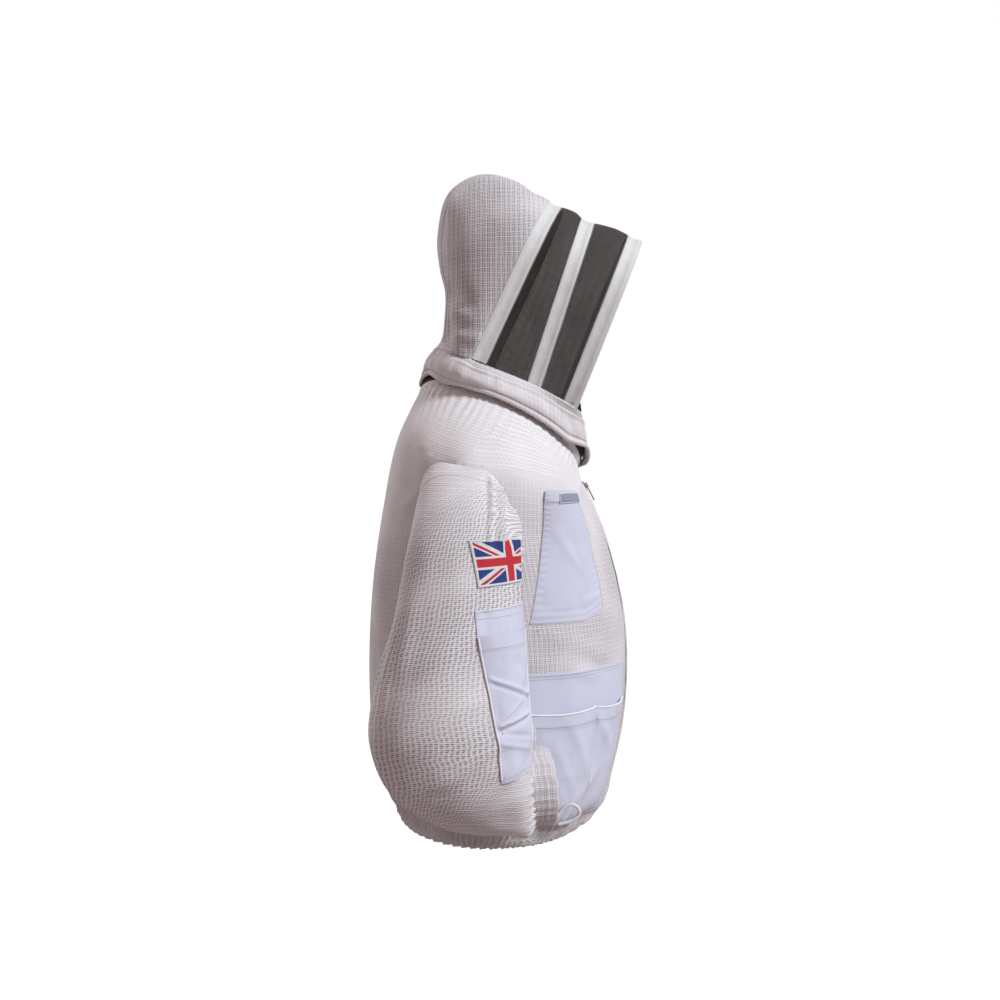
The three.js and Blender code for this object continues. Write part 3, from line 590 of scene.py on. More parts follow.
class Look:
    """A material and short ways to wire its nodes."""

    def __init__(self, name, colour, roughness, metallic=0.0, sheen=0.0):
        self.material = bpy.data.materials.new(name)
        self.material.use_nodes = True
        self.tree = self.material.node_tree
        self.shader = self.tree.nodes["Principled BSDF"]
        self.set("Base Color", colour)
        self.set("Roughness", roughness)
        self.set("Metallic", metallic)
        self.set("Sheen Weight", sheen)
        self.set("Specular IOR Level", 0.25)

    def set(self, name, value):
        self.feed(self.shader.inputs[name], value)

    def feed(self, socket, value):
        value = getattr(value, "socket", value)
        if isinstance(value, bpy.types.NodeSocket):
            self.tree.links.new(value, socket)
        elif isinstance(value, tuple):
            socket.default_value = (*value, 1.0)
        else:
            socket.default_value = value

    def node(self, kind, **inputs):
        made = self.tree.nodes.new(kind)
        for name, value in inputs.items():
            self.feed(made.inputs[name.replace("_", " ")], value)
        return made

    def math(self, operation, *values):
        made = self.tree.nodes.new("ShaderNodeMath")
        made.operation = operation
        for socket, value in zip(made.inputs, values):
            self.feed(socket, value)
        return Value(self, made.outputs[0])

    def step(self, value, low, high):
        made = self.node("ShaderNodeMapRange", Value=value, From_Min=low, From_Max=high)
        made.interpolation_type = "SMOOTHSTEP"
        return Value(self, made.outputs["Result"])

    def mix(self, share, a, b):
        made = self.tree.nodes.new("ShaderNodeMix")
        made.data_type = "RGBA"
        for index, value in ((0, share), (6, a), (7, b)):
            self.feed(made.inputs[index], value)
        return made.outputs[2]

    def cloth_place(self):
        made = self.tree.nodes.new("ShaderNodeUVMap")
        made.uv_map = "cloth"
        return made.outputs[0]

    def object_place(self):
        return self.tree.nodes.new("ShaderNodeTexCoord").outputs["Object"]

    def noise(self, where, scale, detail=2.0):
        made = self.node("ShaderNodeTexNoise", Vector=where, Scale=scale, Detail=detail)
        return Value(self, made.outputs["Fac"])

    def across(self, where, turn=0.0):
        """The two cloth coordinates in millimetres, after a turn in degrees."""
        turned = self.node("ShaderNodeVectorRotate", Vector=where, Angle=math.radians(turn))
        turned.rotation_type = "Z_AXIS"
        parts = self.node("ShaderNodeSeparateXYZ", Vector=turned.outputs[0])
        return tuple(Value(self, part) * (1 / MM) for part in parts.outputs[:2])

    def wave(self, position, pitch):
        """0 to 1 and back over each pitch."""
        return self.math("SINE", position * (2 * math.pi / pitch)) * 0.5 + 0.5

    def finish(self, colour, height, distance, strength):
        """Wires the colour and a bump of the surface."""
        self.set("Base Color", colour)
        made = self.node("ShaderNodeBump", Height=height, Distance=distance, Strength=strength)
        self.set("Normal", made.outputs[0])
        return self.material


def shade(colour, factor):
    return tuple(min(1.0, part * factor) for part in colour)


WHITE = (0.83, 0.80, 0.82)
# Painted shade: the mesh's dark inside, seen through its holes.
HOLE_SHADE = (0.12, 0.09, 0.135)
ROWS_IN_CELL, COLUMNS_IN_CELL, HOLE_SLANT = 2.9, 3.1, 0.45
HOLE_WIDTH, HOLE_HEIGHT = 0.37, 0.45
CELL_WANDER = 3.0
ACROSS_THREADS, DOWN_THREADS = 0.62, 0.78


def airmesh(name, cell, shown, lines):
    """Three-layer mesh: cells of solid thread, each with three rows of three small slanted holes.

    shown is how clearly the holes' painted shade stands out: a number, or the two levels between which it
    fades in, fainter higher up, as painted light where the top is lit flat.
    lines is how clearly the solid threads round the cells do.
    """
    look = Look(name, WHITE, 0.88, sheen=0.12)
    where = look.cloth_place()
    u, v = look.across(where)
    from_middle = lambda x: look.math("FRACT", x) - 0.5
    cell_u = from_middle((look.noise(where, 38.0) * CELL_WANDER + u) / cell)
    cell_v = from_middle((look.noise(where, 31.0) * CELL_WANDER + v) / cell)
    rim = lambda x: look.step(look.math("ABSOLUTE", x), 0.37, 0.45)
    threads = look.math("MAXIMUM", rim(cell_u) * ACROSS_THREADS, rim(cell_v) * DOWN_THREADS)
    in_row = from_middle(cell_v * ROWS_IN_CELL + 0.5)
    in_column = from_middle(cell_u * COLUMNS_IN_CELL + 1.0 + in_row * HOLE_SLANT)
    hole_u, hole_v = in_column / HOLE_WIDTH, in_row / HOLE_HEIGHT
    away = look.math("SQRT", hole_u * hole_u + hole_v * hole_v)
    # Painted light: random patches where the holes' painted shade is stronger or fainter.
    patchy_light = look.step(look.noise(where, 7.0), 0.34, 0.56) * 0.50 + 0.55
    # Painted light: the holes' painted shade fades out higher up, where the top is lit flat.
    if isinstance(shown, tuple):
        level = look.node("ShaderNodeSeparateXYZ", Vector=look.object_place()).outputs[2]
        shown = look.step(level, *shown) * 0.50 + 0.22
    # hole marks the holes: they are bumped in, and painted dark as painted shade of the mesh's inside.
    hole = (1.0 - look.step(away, 0.65, 1.15)) * (1.0 - threads) * patchy_light * shown
    base = look.mix(look.noise(where, 24.0), WHITE, shade(WHITE, 0.93))
    base = look.mix(threads * lines, base, shade(WHITE, 1.08))
    high = threads * lines + look.noise(where, 1300.0) * 0.3
    return look.finish(look.mix(hole, base, HOLE_SHADE), high - hole, 0.0009, 0.8)


def polycotton(name, light, pitch=0.9):
    """Plain twill-woven cloth, a little crumpled."""
    look = Look(name, light, 0.75, sheen=0.1)
    where = look.cloth_place()
    u, v = look.across(where, 32.0)
    cloudy = look.noise(where, 14.0, 4.0)
    look.set("Roughness", cloudy * 0.14 + 0.68)
    fine = look.wave(u, pitch) * 0.10 + look.wave(v, pitch * 0.6) * 0.05
    height = look.noise(where, 55.0, 3.0) * 0.9 + fine
    return look.finish(look.mix(cloudy, shade(light, 0.93), light), height, 0.0011, 0.55)


def woven(name, light, pitch=1.5, on_cloth=True, dark=0.86, bump=0.0005):
    """Tape, braid or thread whose weave lies across it at 45 degrees."""
    look = Look(name, light, 0.72, sheen=0.08)
    where = look.cloth_place() if on_cloth else look.object_place()
    u, v = look.across(where, 45.0)
    weave = look.wave(u, pitch) * look.wave(v, pitch)
    # Painted shade in the weave's hollows, mixed half and half with random darker tone; dark is how far both
    # darken it.
    lightness = look.noise(where, 30.0, 4.0) * 0.5 + weave * 0.5
    return look.finish(look.mix(lightness, shade(light, dark), light), weave, bump, 0.7)


def net(name, colour, pitch=1.7):
    """A see-through knitted net. Its threads cover part of what lies behind it."""
    look = Look(name, colour, 0.6)
    where = look.cloth_place()
    u, v = look.across(where)
    thread = look.math("MAXIMUM", look.wave(u, pitch), look.wave(v, pitch))
    creased = look.noise(where, 16.0)
    look.set("Alpha", look.step(thread, 0.35, 0.95) * 0.30 + (creased * 0.16 + 0.28))
    return look.finish(look.mix(creased, colour, shade(colour, 2.2)), thread, 0.0003, 0.5)


def metal(name, colour):
    look = Look(name, colour, 0.34, metallic=1.0)
    where = look.object_place()
    # The metal's random worn patches are darker where lightness is low.
    scratched, lightness = look.noise(where, 900.0, 3.0), look.noise(where, 160.0, 3.0)
    look.set("Roughness", scratched * 0.24 + 0.26)
    return look.finish(look.mix(lightness, shade(colour, 0.72), colour), scratched, 0.00008, 0.4)


def ribbed(name, light, pitch=1.3):
    look = Look(name, light, 0.7)
    ribs = look.wave(look.across(look.object_place())[1], pitch)
    return look.finish(look.mix(ribs, shade(light, 0.84), light), ribs, 0.0004, 0.8)


# How strongly each part's holes show their painted shade is set by how lit that part looks; on the body and
# sleeves it also fades with height, as painted light.
BODY_MESH = airmesh("airmesh_body", 7.0, (-0.06, -0.24), 0.15)
SLEEVE_MESH = airmesh("airmesh_sleeve", 7.4, (-0.02, -0.17), 0.6)
HOOD_MESH = airmesh("airmesh_hood", 7.2, 0.95, 0.5)
COLLAR_MESH = airmesh("airmesh_collar", 7.2, 0.35, 0.2)
COTTON_LOOK = polycotton("polycotton", (0.635, 0.645, 0.78))
TRIM_LOOK = polycotton("polycotton_trim", (0.84, 0.835, 0.89), 0.8)
TAPE_LOOK = woven("hoop_tape", (0.82, 0.83, 0.83))
PIPING_LOOK = woven("piping", (0.86, 0.86, 0.86), 1.0)
NET_LOOK = net("veil_net", (0.022, 0.015, 0.013))
ZIP_LOOK = woven("zip_tape", (0.030, 0.029, 0.022), 1.1, on_cloth=False, dark=0.55, bump=0.0003)
TEETH_LOOK = woven("zip_teeth", (0.045, 0.043, 0.034), 1.0, on_cloth=False, bump=0.0001)
METAL_LOOK = metal("slider_metal", (0.42, 0.42, 0.41))
ELASTIC_LOOK = ribbed("braided_elastic", (0.84, 0.84, 0.83))
LINING_LOOK = polycotton("lining", (0.70, 0.68, 0.69), 1.0)
THREAD_LOOK = woven("sewing_thread", (0.72, 0.70, 0.72), 0.8, on_cloth=False, bump=0.0001)
LABEL_LOOK = woven("woven_label", (0.36, 0.40, 0.50), 0.8)
PATCH_BLUE = woven("patch_blue", (0.035, 0.055, 0.25), 0.9)
PATCH_RED = woven("patch_red", (0.62, 0.03, 0.045), 0.9)
PATCH_WHITE = woven("patch_white", (0.80, 0.80, 0.82), 0.9)

# ------------------------------------------------------------------ relief of the cloth


def fold(points, a, b, width, height):
    """A fold along the line from a to b: raised where height is positive."""
    a, b = np.array(a, float), np.array(b, float)
    along = b - a
    share = clamp(((points - a) @ along) / (along @ along))
    away = np.linalg.norm(points - a - share[..., None] * along, axis=-1)
    return height * arch(share * 0.9 + 0.05, 0.6) * hump(away, width=width)


def folded(points, folds, beside=None):
    """The height of folds. beside is how far from a fold's two ends its shallower valley runs."""
    total = np.zeros(points.shape[:-1])
    for a, b, width, height in folds:
        total += fold(points, a, b, width, height)
        if beside:
            total -= fold(points, np.add(a, beside[0]), np.add(b, beside[1]), width * 0.8, height * 0.6)
    return total


BODY_FOLDS = [
    ((-222, 30, -70), (-150, 140, -120), 12, 5),
    ((-215, 95, -120), (-170, 165, -200), 14, 5),
    ((-205, 100, -230), (-150, 178, -330), 16, 6),
    ((-190, 40, -300), (-180, 130, -420), 18, 6),
    ((-150, 150, -380), (-130, 165, -520), 16, 5),
    ((-60, 178, -330), (-80, 185, -500), 20, 4),
    ((60, 178, -300), (95, 180, -480), 20, 4),
    ((150, 150, -360), (150, 150, -520), 16, 5),
    ((-100, -150, -430), (-120, -130, -560), 12, 4),
    ((-185, -60, -290), (-120, -160, -330), 12, 5),
    ((-195, -40, -330), (-150, -130, -350), 9, 4),
    ((190, -50, -290), (120, -160, -340), 13, 5),
    ((-60, -120, -60), (-120, -100, -110), 10, 4),
    ((-150, -40, -20), (-190, -20, -90), 10, 4),
]
GATHERS, GATHER_WANDER, NECK_TUCKS = 112, 4.0, 64


def gather_phase(points, turn):
    """The hem's gathers, which the panels above it share."""
    return np.radians(turn) * GATHERS + GATHER_WANDER * noise(points, (24, 24, 60), 4)


def body_relief(points, height, turn):
    z = points[..., 2]
    lumps = 2.6 * noise(points, (85, 85, 190), 1) + 1.3 * noise(points, (34, 34, 90), 2)
    blouse = smooth(-455, -565, z) * (4.0 * noise(points, (26, 26, 120), 3) + 2.0)
    gather = smooth(-505, -572, z) * 2.6 * ripple(gather_phase(points, turn))
    near_neck = smooth(1.0, 0.90, height)
    tucks = (1 - near_neck) * 0.9 * np.cos(np.radians(turn) * NECK_TUCKS + 3 * noise(points, 30, 5))
    over_hem = 2.2 * smooth(HEM_TOP * 1.25, HEM_TOP * 0.9, height)
    total = (lumps + blouse) * near_neck + gather + tucks + over_hem
    total = total + folded(points, BODY_FOLDS, ((0, 14, -18), (0, 10, -16)))
    off_zip = smooth(26, 44, np.abs(points[..., 0])) + (points[..., 1] > 0)
    return total * clamp(off_zip) * smooth(1.0, 0.985, height)


def dressed_body(height, turn):
    base = body(height, turn)
    return base + outward(body, height, turn, 2e-3, 0.4) * body_relief(base, height, turn)[..., None]


SLEEVE_FOLDS = [
    ((-352, 10, -260), (-352, 110, -330), 13, 6),
    ((-350, 60, -300), (-340, 140, -400), 15, 7),
    ((-356, 20, -350), (-350, 130, -440), 14, 6),
    ((-350, -20, -400), (-350, 90, -480), 12, 6),
    ((-340, -30, -440), (-335, 50, -520), 12, 5),
    ((-320, 110, -230), (-345, 140, -330), 16, 5),
    ((-300, 125, -260), (-330, 160, -390), 12, 4),
    ((-310, -36, -440), (-320, 10, -500), 9, 4),
    ((-295, -40, -300), (-330, -36, -360), 10, 4),
    ((-280, 150, -400), (-330, 110, -480), 12, 5),
]
HEAD_PLEAT, ARMPIT_BULGE = 15.5, 21.0


def sleeve_relief(points, turn, along):
    x, y, z = points[..., 0], points[..., 1], points[..., 2]
    lumps = 2.8 * noise(points, (75, 75, 120), 6) + 1.4 * noise(points, (30, 30, 60), 7)
    head = smooth(-38, -31, y) * smooth(19, 11, y) * smooth(-176, -150, z)
    head = head * smooth(0.0, 0.012, along) * smooth(-195, -225, x)
    pleats = ripple((y + 32 + 2.5 * noise(points, (50, 50, 40), 8)) / HEAD_PLEAT * 2 * np.pi)
    armpit = hump(y, -46, 26) * hump(z, -150, 46) * smooth(0.0, 0.05, along)
    wrist = smooth(0.84, 1.0, along)
    gather = wrist * 2.2 * ripple(np.radians(turn) * 26 + 2.0 * noise(points, 24, 9))
    sag = smooth(0.35, 0.75, along) * smooth(1.0, 0.88, along)
    total = lumps * smooth(0.0, 0.06, along) * (1 - 0.7 * wrist) + head * (4.2 * pleats + 2.0)
    total = total + ARMPIT_BULGE * armpit + gather + sag * 4.0 * noise(points, (40, 40, 34), 10)
    total = total + folded(points, SLEEVE_FOLDS, ((0, 12, -16), (0, 12, -16)))
    return total * smooth(0.0, 0.015, along) * smooth(1.0, 0.985, along)


HOOD_FOLDS = [
    ((128, 40, 150), (70, 86, 175), 13, 6),
    ((122, 46, 176), (60, 88, 205), 15, -6),
    ((130, 20, 120), (105, 78, 130), 10, 5),
]


def hood_relief(points, height):
    lumps = 2.2 * noise(points, (60, 60, 90), 12) + 1.0 * noise(points, (26, 26, 40), 13)
    nape = smooth(0.22, 0.0, height) * smooth(0.0, 0.03, height)
    total = lumps + nape * 3.0 * noise(points, (22, 22, 60), 14)
    total = total + folded(points, HOOD_FOLDS) + folded(points * OTHER_SIDE, HOOD_FOLDS)
    return total * smooth(0.0, 0.03, height) * smooth(1.0, 0.97, height)


# ------------------------------------------------------------------ body, hem and front

AIRMESH, COTTON, VEIL = 3.0, 1.2, 0.8
TAPE_LAP, LAP_COLUMNS = 9.5, 4
BODY_COLUMNS, FRONT_COLUMNS = 236, 130
SURFACES = {}


def keep(name, grid):
    """Keeps a surface for its stitches."""
    SURFACES[name] = grid
    return grid


def body_heights():
    """The rows of the body's panels, closest together at the armhole's corners."""
    middle, half = ARMHOLE["height"], ARMHOLE["half"]
    below = np.linspace(HEM_TOP * 0.42, middle - half, 72)[:-1]
    beside = middle - half * np.cos(np.linspace(0, np.pi, 44))
    return np.concatenate([below, beside, np.linspace(middle + half, 1, 14)[1:]])


HEIGHTS = body_heights()[:, None]


def lapped(grid, turn):
    """Carries the panel up over the zip's tape, almost to the teeth."""
    share = np.array([[0.25], [0.5], [0.75], [1.0]])
    lap = neck(turn, TAPE_LAP * share - ZIP_TAPE - BUTT, lerp(0.6, 1.9, share))
    pucker = 0.21 * np.cos(np.radians(turn) * 118)[:, None]
    return np.concatenate([grid, lap + pucker * (neck(turn, 0, 1.0) - neck(turn, 0, 0.0))])


def panel(start, end, columns):
    turn = lerp(start, end, np.linspace(0, 1, columns)[None])
    return dressed_body(HEIGHTS + 0 * turn, turn), turn


def back_grid():
    seam = side_seam(HEIGHTS) + armhole_spread(HEIGHTS) * ARMHOLE["back"]
    grid, turn = panel(seam, 360 - seam, BODY_COLUMNS)
    return lapped(grid, turn[-1])


def front_seam(height):
    return side_seam(height) - armhole_spread(height) * ARMHOLE["front"]


def front_grid():
    """The front panel, whose edge laps over the front zip's tape."""
    edge = front_edge(HEIGHTS)
    grid, turn = panel(edge, front_seam(HEIGHTS), FRONT_COLUMNS)
    share = np.linspace(1, 0, LAP_COLUMNS, endpoint=False)[None]
    lap_turn = edge * (1 - 0.55 * share)
    lap = body(HEIGHTS, lap_turn) - vec(0, lerp(1.0, 3.0, share), 0)
    turn = np.concatenate([lap_turn, turn], axis=1)
    return lapped(np.concatenate([lap, grid], axis=1), turn[-1])


def sample(grid, row, column):
    """The grid's points and normals at fractional rows and columns."""
    row, column = np.broadcast_arrays(row, column)
    r = np.minimum(row.astype(int), grid.shape[0] - 2)
    c = np.minimum(column.astype(int), grid.shape[1] - 2)
    s, t = (row - r)[..., None], (column - c)[..., None]
    blend = lambda g: lerp(lerp(g[r, c], g[r + 1, c], s), lerp(g[r, c + 1], g[r + 1, c + 1], s), t)
    return blend(grid), blend(normals(grid))


def on_front(height, turn):
    """The finished front panel's points and normals at the body's own coordinates."""
    grid = SURFACES["front"]
    rows = np.interp(height, HEIGHTS[:, 0], np.arange(len(HEIGHTS)))
    edge = front_edge(height)
    share = clamp((turn - edge) / (front_seam(height) - edge))
    return sample(grid, rows, LAP_COLUMNS + share * (grid.shape[1] - 1 - LAP_COLUMNS))


HEM_WIDTH, CASING_DEPTH, HEM_FRONT, HEM_COLUMNS = 20.0, 7.0, 5.0, 560


def hem_point(turn, rise, out):
    edge = body(0, turn)
    up = unit(body(HEM_TOP, turn) - edge)
    n = unit(np.cross(up, body(0, turn + 1) - body(0, turn - 1)))
    return edge + up * rise[..., None] + n * out[..., None]


def casing_section(samples, width, depth):
    """(rise, inset) round a casing: down the inside, round the fold and up the outside."""
    t = np.linspace(0, 1, samples)
    angle = np.pi * clamp((t - 0.38) / 0.24)
    inside = lerp(width, depth / 2, clamp(t / 0.38))
    outside = lerp(depth / 2, width, clamp((t - 0.62) / 0.38))
    rise = np.where(t < 0.5, inside, outside) - np.sin(angle) * depth / 2
    return rise, depth / 2 + np.cos(angle) * depth / 2


def hem_grid():
    rise, inset = casing_section(17, HEM_WIDTH, CASING_DEPTH)
    rise, turn = spread(rise, np.linspace(HEM_FRONT, 360 - HEM_FRONT, HEM_COLUMNS))
    inset = inset[:, None] + 0 * turn
    phase = gather_phase(hem_point(turn, rise, -inset) * (1, 1, 0), turn)
    outer = np.where(inset < CASING_DEPTH * 0.6, 1.0, -0.3)
    middle = arch(rise / HEM_WIDTH)
    out = outer * (ripple(phase) * (0.9 + 1.5 * middle) + 1.6 * middle)
    rise = rise + 1.1 * np.cos(phase * 0.5 + 1.0) * (1 - rise / HEM_WIDTH)
    return hem_point(turn, rise, out - inset)


def flap_grid():
    """The storm flap, a strip behind the front zip."""
    z, x = spread(
        np.linspace(FRONT_ZIP["bottom"] + 16, FRONT_ZIP["top"] - 6, 120), np.linspace(-20, 20, 16)
    )
    flap = vec(x, on_front_zip(z) + 7.6, z)
    flap[..., 1] += 0.5 * noise(flap, (20, 20, 40), 15)
    return flap


def add_body():
    on_jacket = lambda *words, **more: sheet(*words[:4], "jacket", "airmesh", *words[4:], **more)
    on_jacket("cloth_back", back_grid(), AIRMESH, BODY_MESH, ["back_panel"], "hung", "collar_right")
    front = keep("front", front_grid())
    for side, grid, datum in (("right", front, 0), ("left", mirror(front), -1)):
        on_jacket(
            "cloth_front_" + side, grid, AIRMESH, BODY_MESH, ["front_panel_" + side],
            "hung", "cloth_back", datum=datum,
        )
    hem = keep("hem", hem_grid())
    casing = ["hem_casing", "hem_elastic"]
    on_jacket("cloth_hem", hem, COTTON, COLLAR_MESH, casing, "gathered", "cloth_back")
    flap = flap_grid()
    on_jacket("cloth_storm_flap", flap, COTTON, TRIM_LOOK, ["storm_flap"], "hung", "cloth_front_right")


# ------------------------------------------------------------------ pockets on the body

CHEST = {"low": 5.12 / RINGS, "high": 6.72 / RINGS, "from": (35.0, 33.0), "to": (76.0, 57.0), "depth": 8.8}
CHEST_HEM = 0.885
CHEST_FOLDS = [
    ((-165, -100, -125), (-140, -125, -235), 7, 1.8),
    ((-185, -75, -150), (-150, -118, -215), 8, 2.0),
    ((-120, -135, -140), (-125, -140, -220), 6, -1.3),
    ((-110, -140, -240), (-160, -115, -250), 6, 1.4),
]
LOWER = {"low": 1.5 / RINGS, "mouth": 4.22 / RINGS, "top": 4.62 / RINGS, "from": 20.0, "to": 82.0}
LOWER_DIVIDE, LOWER_DEPTH = 0.42, 10.0
LOWER_FOLDS = [
    ((-150, -125, -400), (-110, -165, -470), 9, 2.6),
    ((-175, -90, -410), (-150, -120, -500), 9, 2.4),
    ((-110, -165, -410), (-90, -170, -500), 8, -1.8),
    ((-185, -70, -440), (-160, -100, -530), 8, 2.0),
    ((-130, -140, -480), (-170, -95, -530), 8, 1.8),
]


def on_side(side, grid, turn=mirror):
    """The right side's grid, or its mirror image for the left."""
    return grid if side == "right" else turn(grid)


def pocket_swell(a, b, depth):
    return 0.9 + depth * arch(b, 0.7) * np.minimum(1, clamp(a) * 1.6)


def pocket_relief(points, a, b, seed):
    edge = smooth(0, 0.10, b) * smooth(1, 0.90, b) * smooth(0, 0.08, a)
    lumps = 1.3 * noise(points, (38, 38, 46), seed) + 0.7 * noise(points, (17, 17, 20), seed + 1)
    sewn = np.minimum(np.minimum(b, 1 - b) * 110, a * 130)
    return lumps * edge + 0.35 * np.cos(a * 130) * hump(sewn, 7, 5)


def add_piping(name, line, body_name, radius, material=PIPING_LOOK, sleeve_side=None):
    show(tube(name, line, radius, material), body_name, (), sleeve_side)


def add_label(pocket):
    """A blank woven label on the chest pocket's hem, with a plain border."""
    rows, columns = pocket.shape[0] - 1, pocket.shape[1] - 1
    up, over = spread(np.linspace(0.872, 0.965, 10) * rows, np.linspace(0.05, 0.72, 34) * columns)
    points, n = sample(pocket, up, over)
    label = points + n
    sheet(
        "woven_label", label, 0.5, LABEL_LOOK, "jacket", "label", ["chest_label"],
        "hung", "cloth_chest_pocket",
    )
    border = rim_of(label) + rim_of(normals(label)) * 0.1
    border = np.concatenate([border, border[:1]])
    add_piping("label_border", border, "jacket", 0.5, TRIM_LOOK)


def add_chest_pocket():
    a, b = spread(np.linspace(0, 1, 110), np.linspace(0, 1, 84))
    foot = CHEST["low"] + 0.022 * np.maximum(0, 0.65 - 2 * b)
    height = lerp(foot, CHEST["high"] + 0.014 * (1 - b), a)
    turn = lerp(lerp(*CHEST["from"], a), lerp(*CHEST["to"], a), b)
    points, n = on_front(height, turn)
    lift = pocket_swell(a, b, CHEST["depth"]) + pocket_relief(points, a, b, 20)
    lift += 1.1 * hump(a, CHEST_HEM, 0.012) + 1.3 * smooth(CHEST_HEM, CHEST_HEM + 0.015, a)
    lift += folded(points, CHEST_FOLDS)
    grid = keep("chest", points + n * lift[..., None])
    sheet(
        "cloth_chest_pocket", grid, COTTON, COTTON_LOOK, "jacket", "cotton", ["chest_pocket"],
        "hung", "cloth_front_right",
    )
    add_label(grid)


def lower_pocket_grid():
    a, b = spread(np.linspace(0, 1, 100), np.linspace(0, 1, 110))
    turn = lerp(LOWER["from"], LOWER["to"], b)
    points, n = on_front(lerp(LOWER["low"], LOWER["mouth"], a), turn)
    lift = pocket_swell(a, b, LOWER_DEPTH) + pocket_relief(points, a, b, 24)
    lift -= 3.0 * hump(b, LOWER_DIVIDE, 0.018) * smooth(0.55, 0.8, a)
    lift += 1.2 * smooth(0.93, 0.95, a) + folded(points, LOWER_FOLDS)
    pocket = points + n * lift[..., None]
    first = 5.0 * arch(b / LOWER_DIVIDE) * (b < LOWER_DIVIDE)
    second = 4.0 * arch((b - LOWER_DIVIDE) / (1 - LOWER_DIVIDE)) * (b > LOWER_DIVIDE)
    pocket[..., 2] -= (first + second) * smooth(0.8, 1.0, a)
    return pocket


def lower_facing_grid():
    """The plain band above the pocket's mouth."""
    a, b = spread(np.linspace(-0.22, 1, 40), np.linspace(0, 1, 110))
    turn = lerp(LOWER["from"], LOWER["to"], b)
    points, n = on_front(lerp(LOWER["mouth"] + 0.003, LOWER["top"], a), turn)
    lift = 1.6 + 0.5 * noise(points, 26, 26) + 0.5 * hump(a, 0.93, 0.03)
    return points + n * lift[..., None]


def add_lower_pockets():
    pocket = keep("lower", lower_pocket_grid())
    facing = keep("facing", lower_facing_grid())
    for side in SIDES:
        for name, node, grid in (
            ("cloth_lower_pocket_", "lower_pocket_", pocket),
            ("cloth_pocket_facing_", "lower_pocket_facing_", facing),
        ):
            sheet(
                name + side, on_side(side, grid), COTTON, COTTON_LOOK, "jacket", "cotton",
                [node + side], "hung", "cloth_front_" + side, cut=grid,
            )
        shown = on_side(side, pocket)
        mouth = shown[-1] - normals(shown)[-1] * 0.4
        add_piping("pocket_mouth_" + side, mouth[2:-2], "jacket", 1.5, TRIM_LOOK)


# ------------------------------------------------------------------ sleeves and cuffs

CUFF_WIDTH, CUFF_GAP, CUFF_DEPTH = 18.0, 3.5, 4.2
LOOP_TURN, LOOP_RISE, LOOP_HALF, LOOP_REACH, LOOP_TILT = 150.0, -4.6, 10.0, 27.0, math.radians(-34)


def sleeve_grid(start, end):
    turn, along = spread(np.linspace(start, end, 110), np.linspace(0, 1, 150))
    base = sleeve(turn, along)
    n = outward(sleeve, turn, clamp(along, 0.002, 0.998), 0.5, 2e-3)
    return base + n * sleeve_relief(base, turn, along)[..., None]


def cuff_point(turn, rise, inset):
    front, back = SLEEVE_RINGS[-1][:2]
    edge = sleeve_ring(SLEEVE_RINGS[-1], turn)
    inward = unit(sleeve_ring(SLEEVE_RINGS[-1], turn + 180) - edge)
    ahead = unit(np.array([0, back[1] - front[1], front[0] - back[0]], float))
    reach = (CUFF_WIDTH + CUFF_GAP - rise) * (1 + 0.45 * clamp(np.sin(np.radians(turn))))
    return edge + ahead * reach[..., None] + inward * inset[..., None]


def cuff_grid():
    rise, inset = casing_section(27, CUFF_WIDTH, CUFF_DEPTH)
    turn, rise = spread(np.linspace(0, 360, 200), rise)
    inset = inset + 0 * turn
    outer = inset < 3.0
    rise = np.where(outer, rise + 6.0 * smooth(10, 18, rise), rise)
    phase = np.radians(turn) * 22
    wave = ripple(phase + 2 * np.sin(np.radians(turn) * 3)) * smooth(-1, 6, rise)
    inset = inset - np.where(outer, 1.0, -0.3) * (0.5 * wave + 0.4 + 0.9 * hump(rise, 9, 1.2))
    rise = rise + 0.5 * np.cos(phase * 0.5) * (1 - rise / CUFF_WIDTH)
    return cuff_point(turn, rise, inset)


def loop_line():
    """The thumb loop's middle line, out from the cuff and back to it."""
    foot = cuff_point(*(np.array([value]) for value in (LOOP_TURN, LOOP_RISE, 0.0)))[0]
    ahead = (6, -LOOP_REACH * 0.45, -LOOP_REACH * 0.9, -LOOP_REACH, -LOOP_REACH * 0.85, -LOOP_REACH * 0.4, 6)
    over = (-0.4, -1.0, -0.8, 0.0, 0.8, 1.0, 0.4)
    points = [(0, y, LOOP_HALF * z) for y, z in zip(ahead, over)]
    x, y, z = through(points, np.linspace(0, 1, 60)).T
    cos, sin = math.cos(LOOP_TILT), math.sin(LOOP_TILT)
    return foot + vec(x, y * cos - z * sin, y * sin + z * cos)


# What is sewn on the right sleeve is laid on it from the wearer's front right, along ARM_VIEW. Each piece
# has its lower and its upper edge, as (across, z) at the front and then at the back.
ARM_VIEW, ARM_ACROSS = np.array([0.8, 0.6, 0]), np.array([0.6, -0.8, 0])
SLEEVE_POCKET = ((-159, -452, -206, -462), (-145, -272, -229, -277))
SLEEVE_FACING = ((-145, -262, -229, -267), (-145, -238, -227, -246))
SLEEVE_PATCH = ((-146, -211, -220, -217), (-146, -155, -222, -157))
# Each crease of the sleeve's pocket: where up it, its width, its height and its tilt.
SLEEVE_POCKET_CREASES = [
    (0.405, 0.016, 3.2, -0.05),
    (0.375, 0.02, -2.2, -0.05),
    (0.62, 0.018, 2.2, 0.20),
    (0.59, 0.02, -1.4, 0.20),
    (0.50, 0.014, 1.6, -0.22),
    (0.22, 0.02, 1.5, 0.12),
    (0.30, 0.02, -1.3, 0.1),
]
FLAG_WIDE, FLAG_HIGH = 60, 36


def soften(grid, times):
    for _ in range(times):
        inner = grid.copy()
        inner[1:-1] = (grid[:-2] + 2 * grid[1:-1] + grid[2:]) / 4
        grid = inner.copy()
        grid[:, 1:-1] = (inner[:, :-2] + 2 * inner[:, 1:-1] + inner[:, 2:]) / 4
    return grid


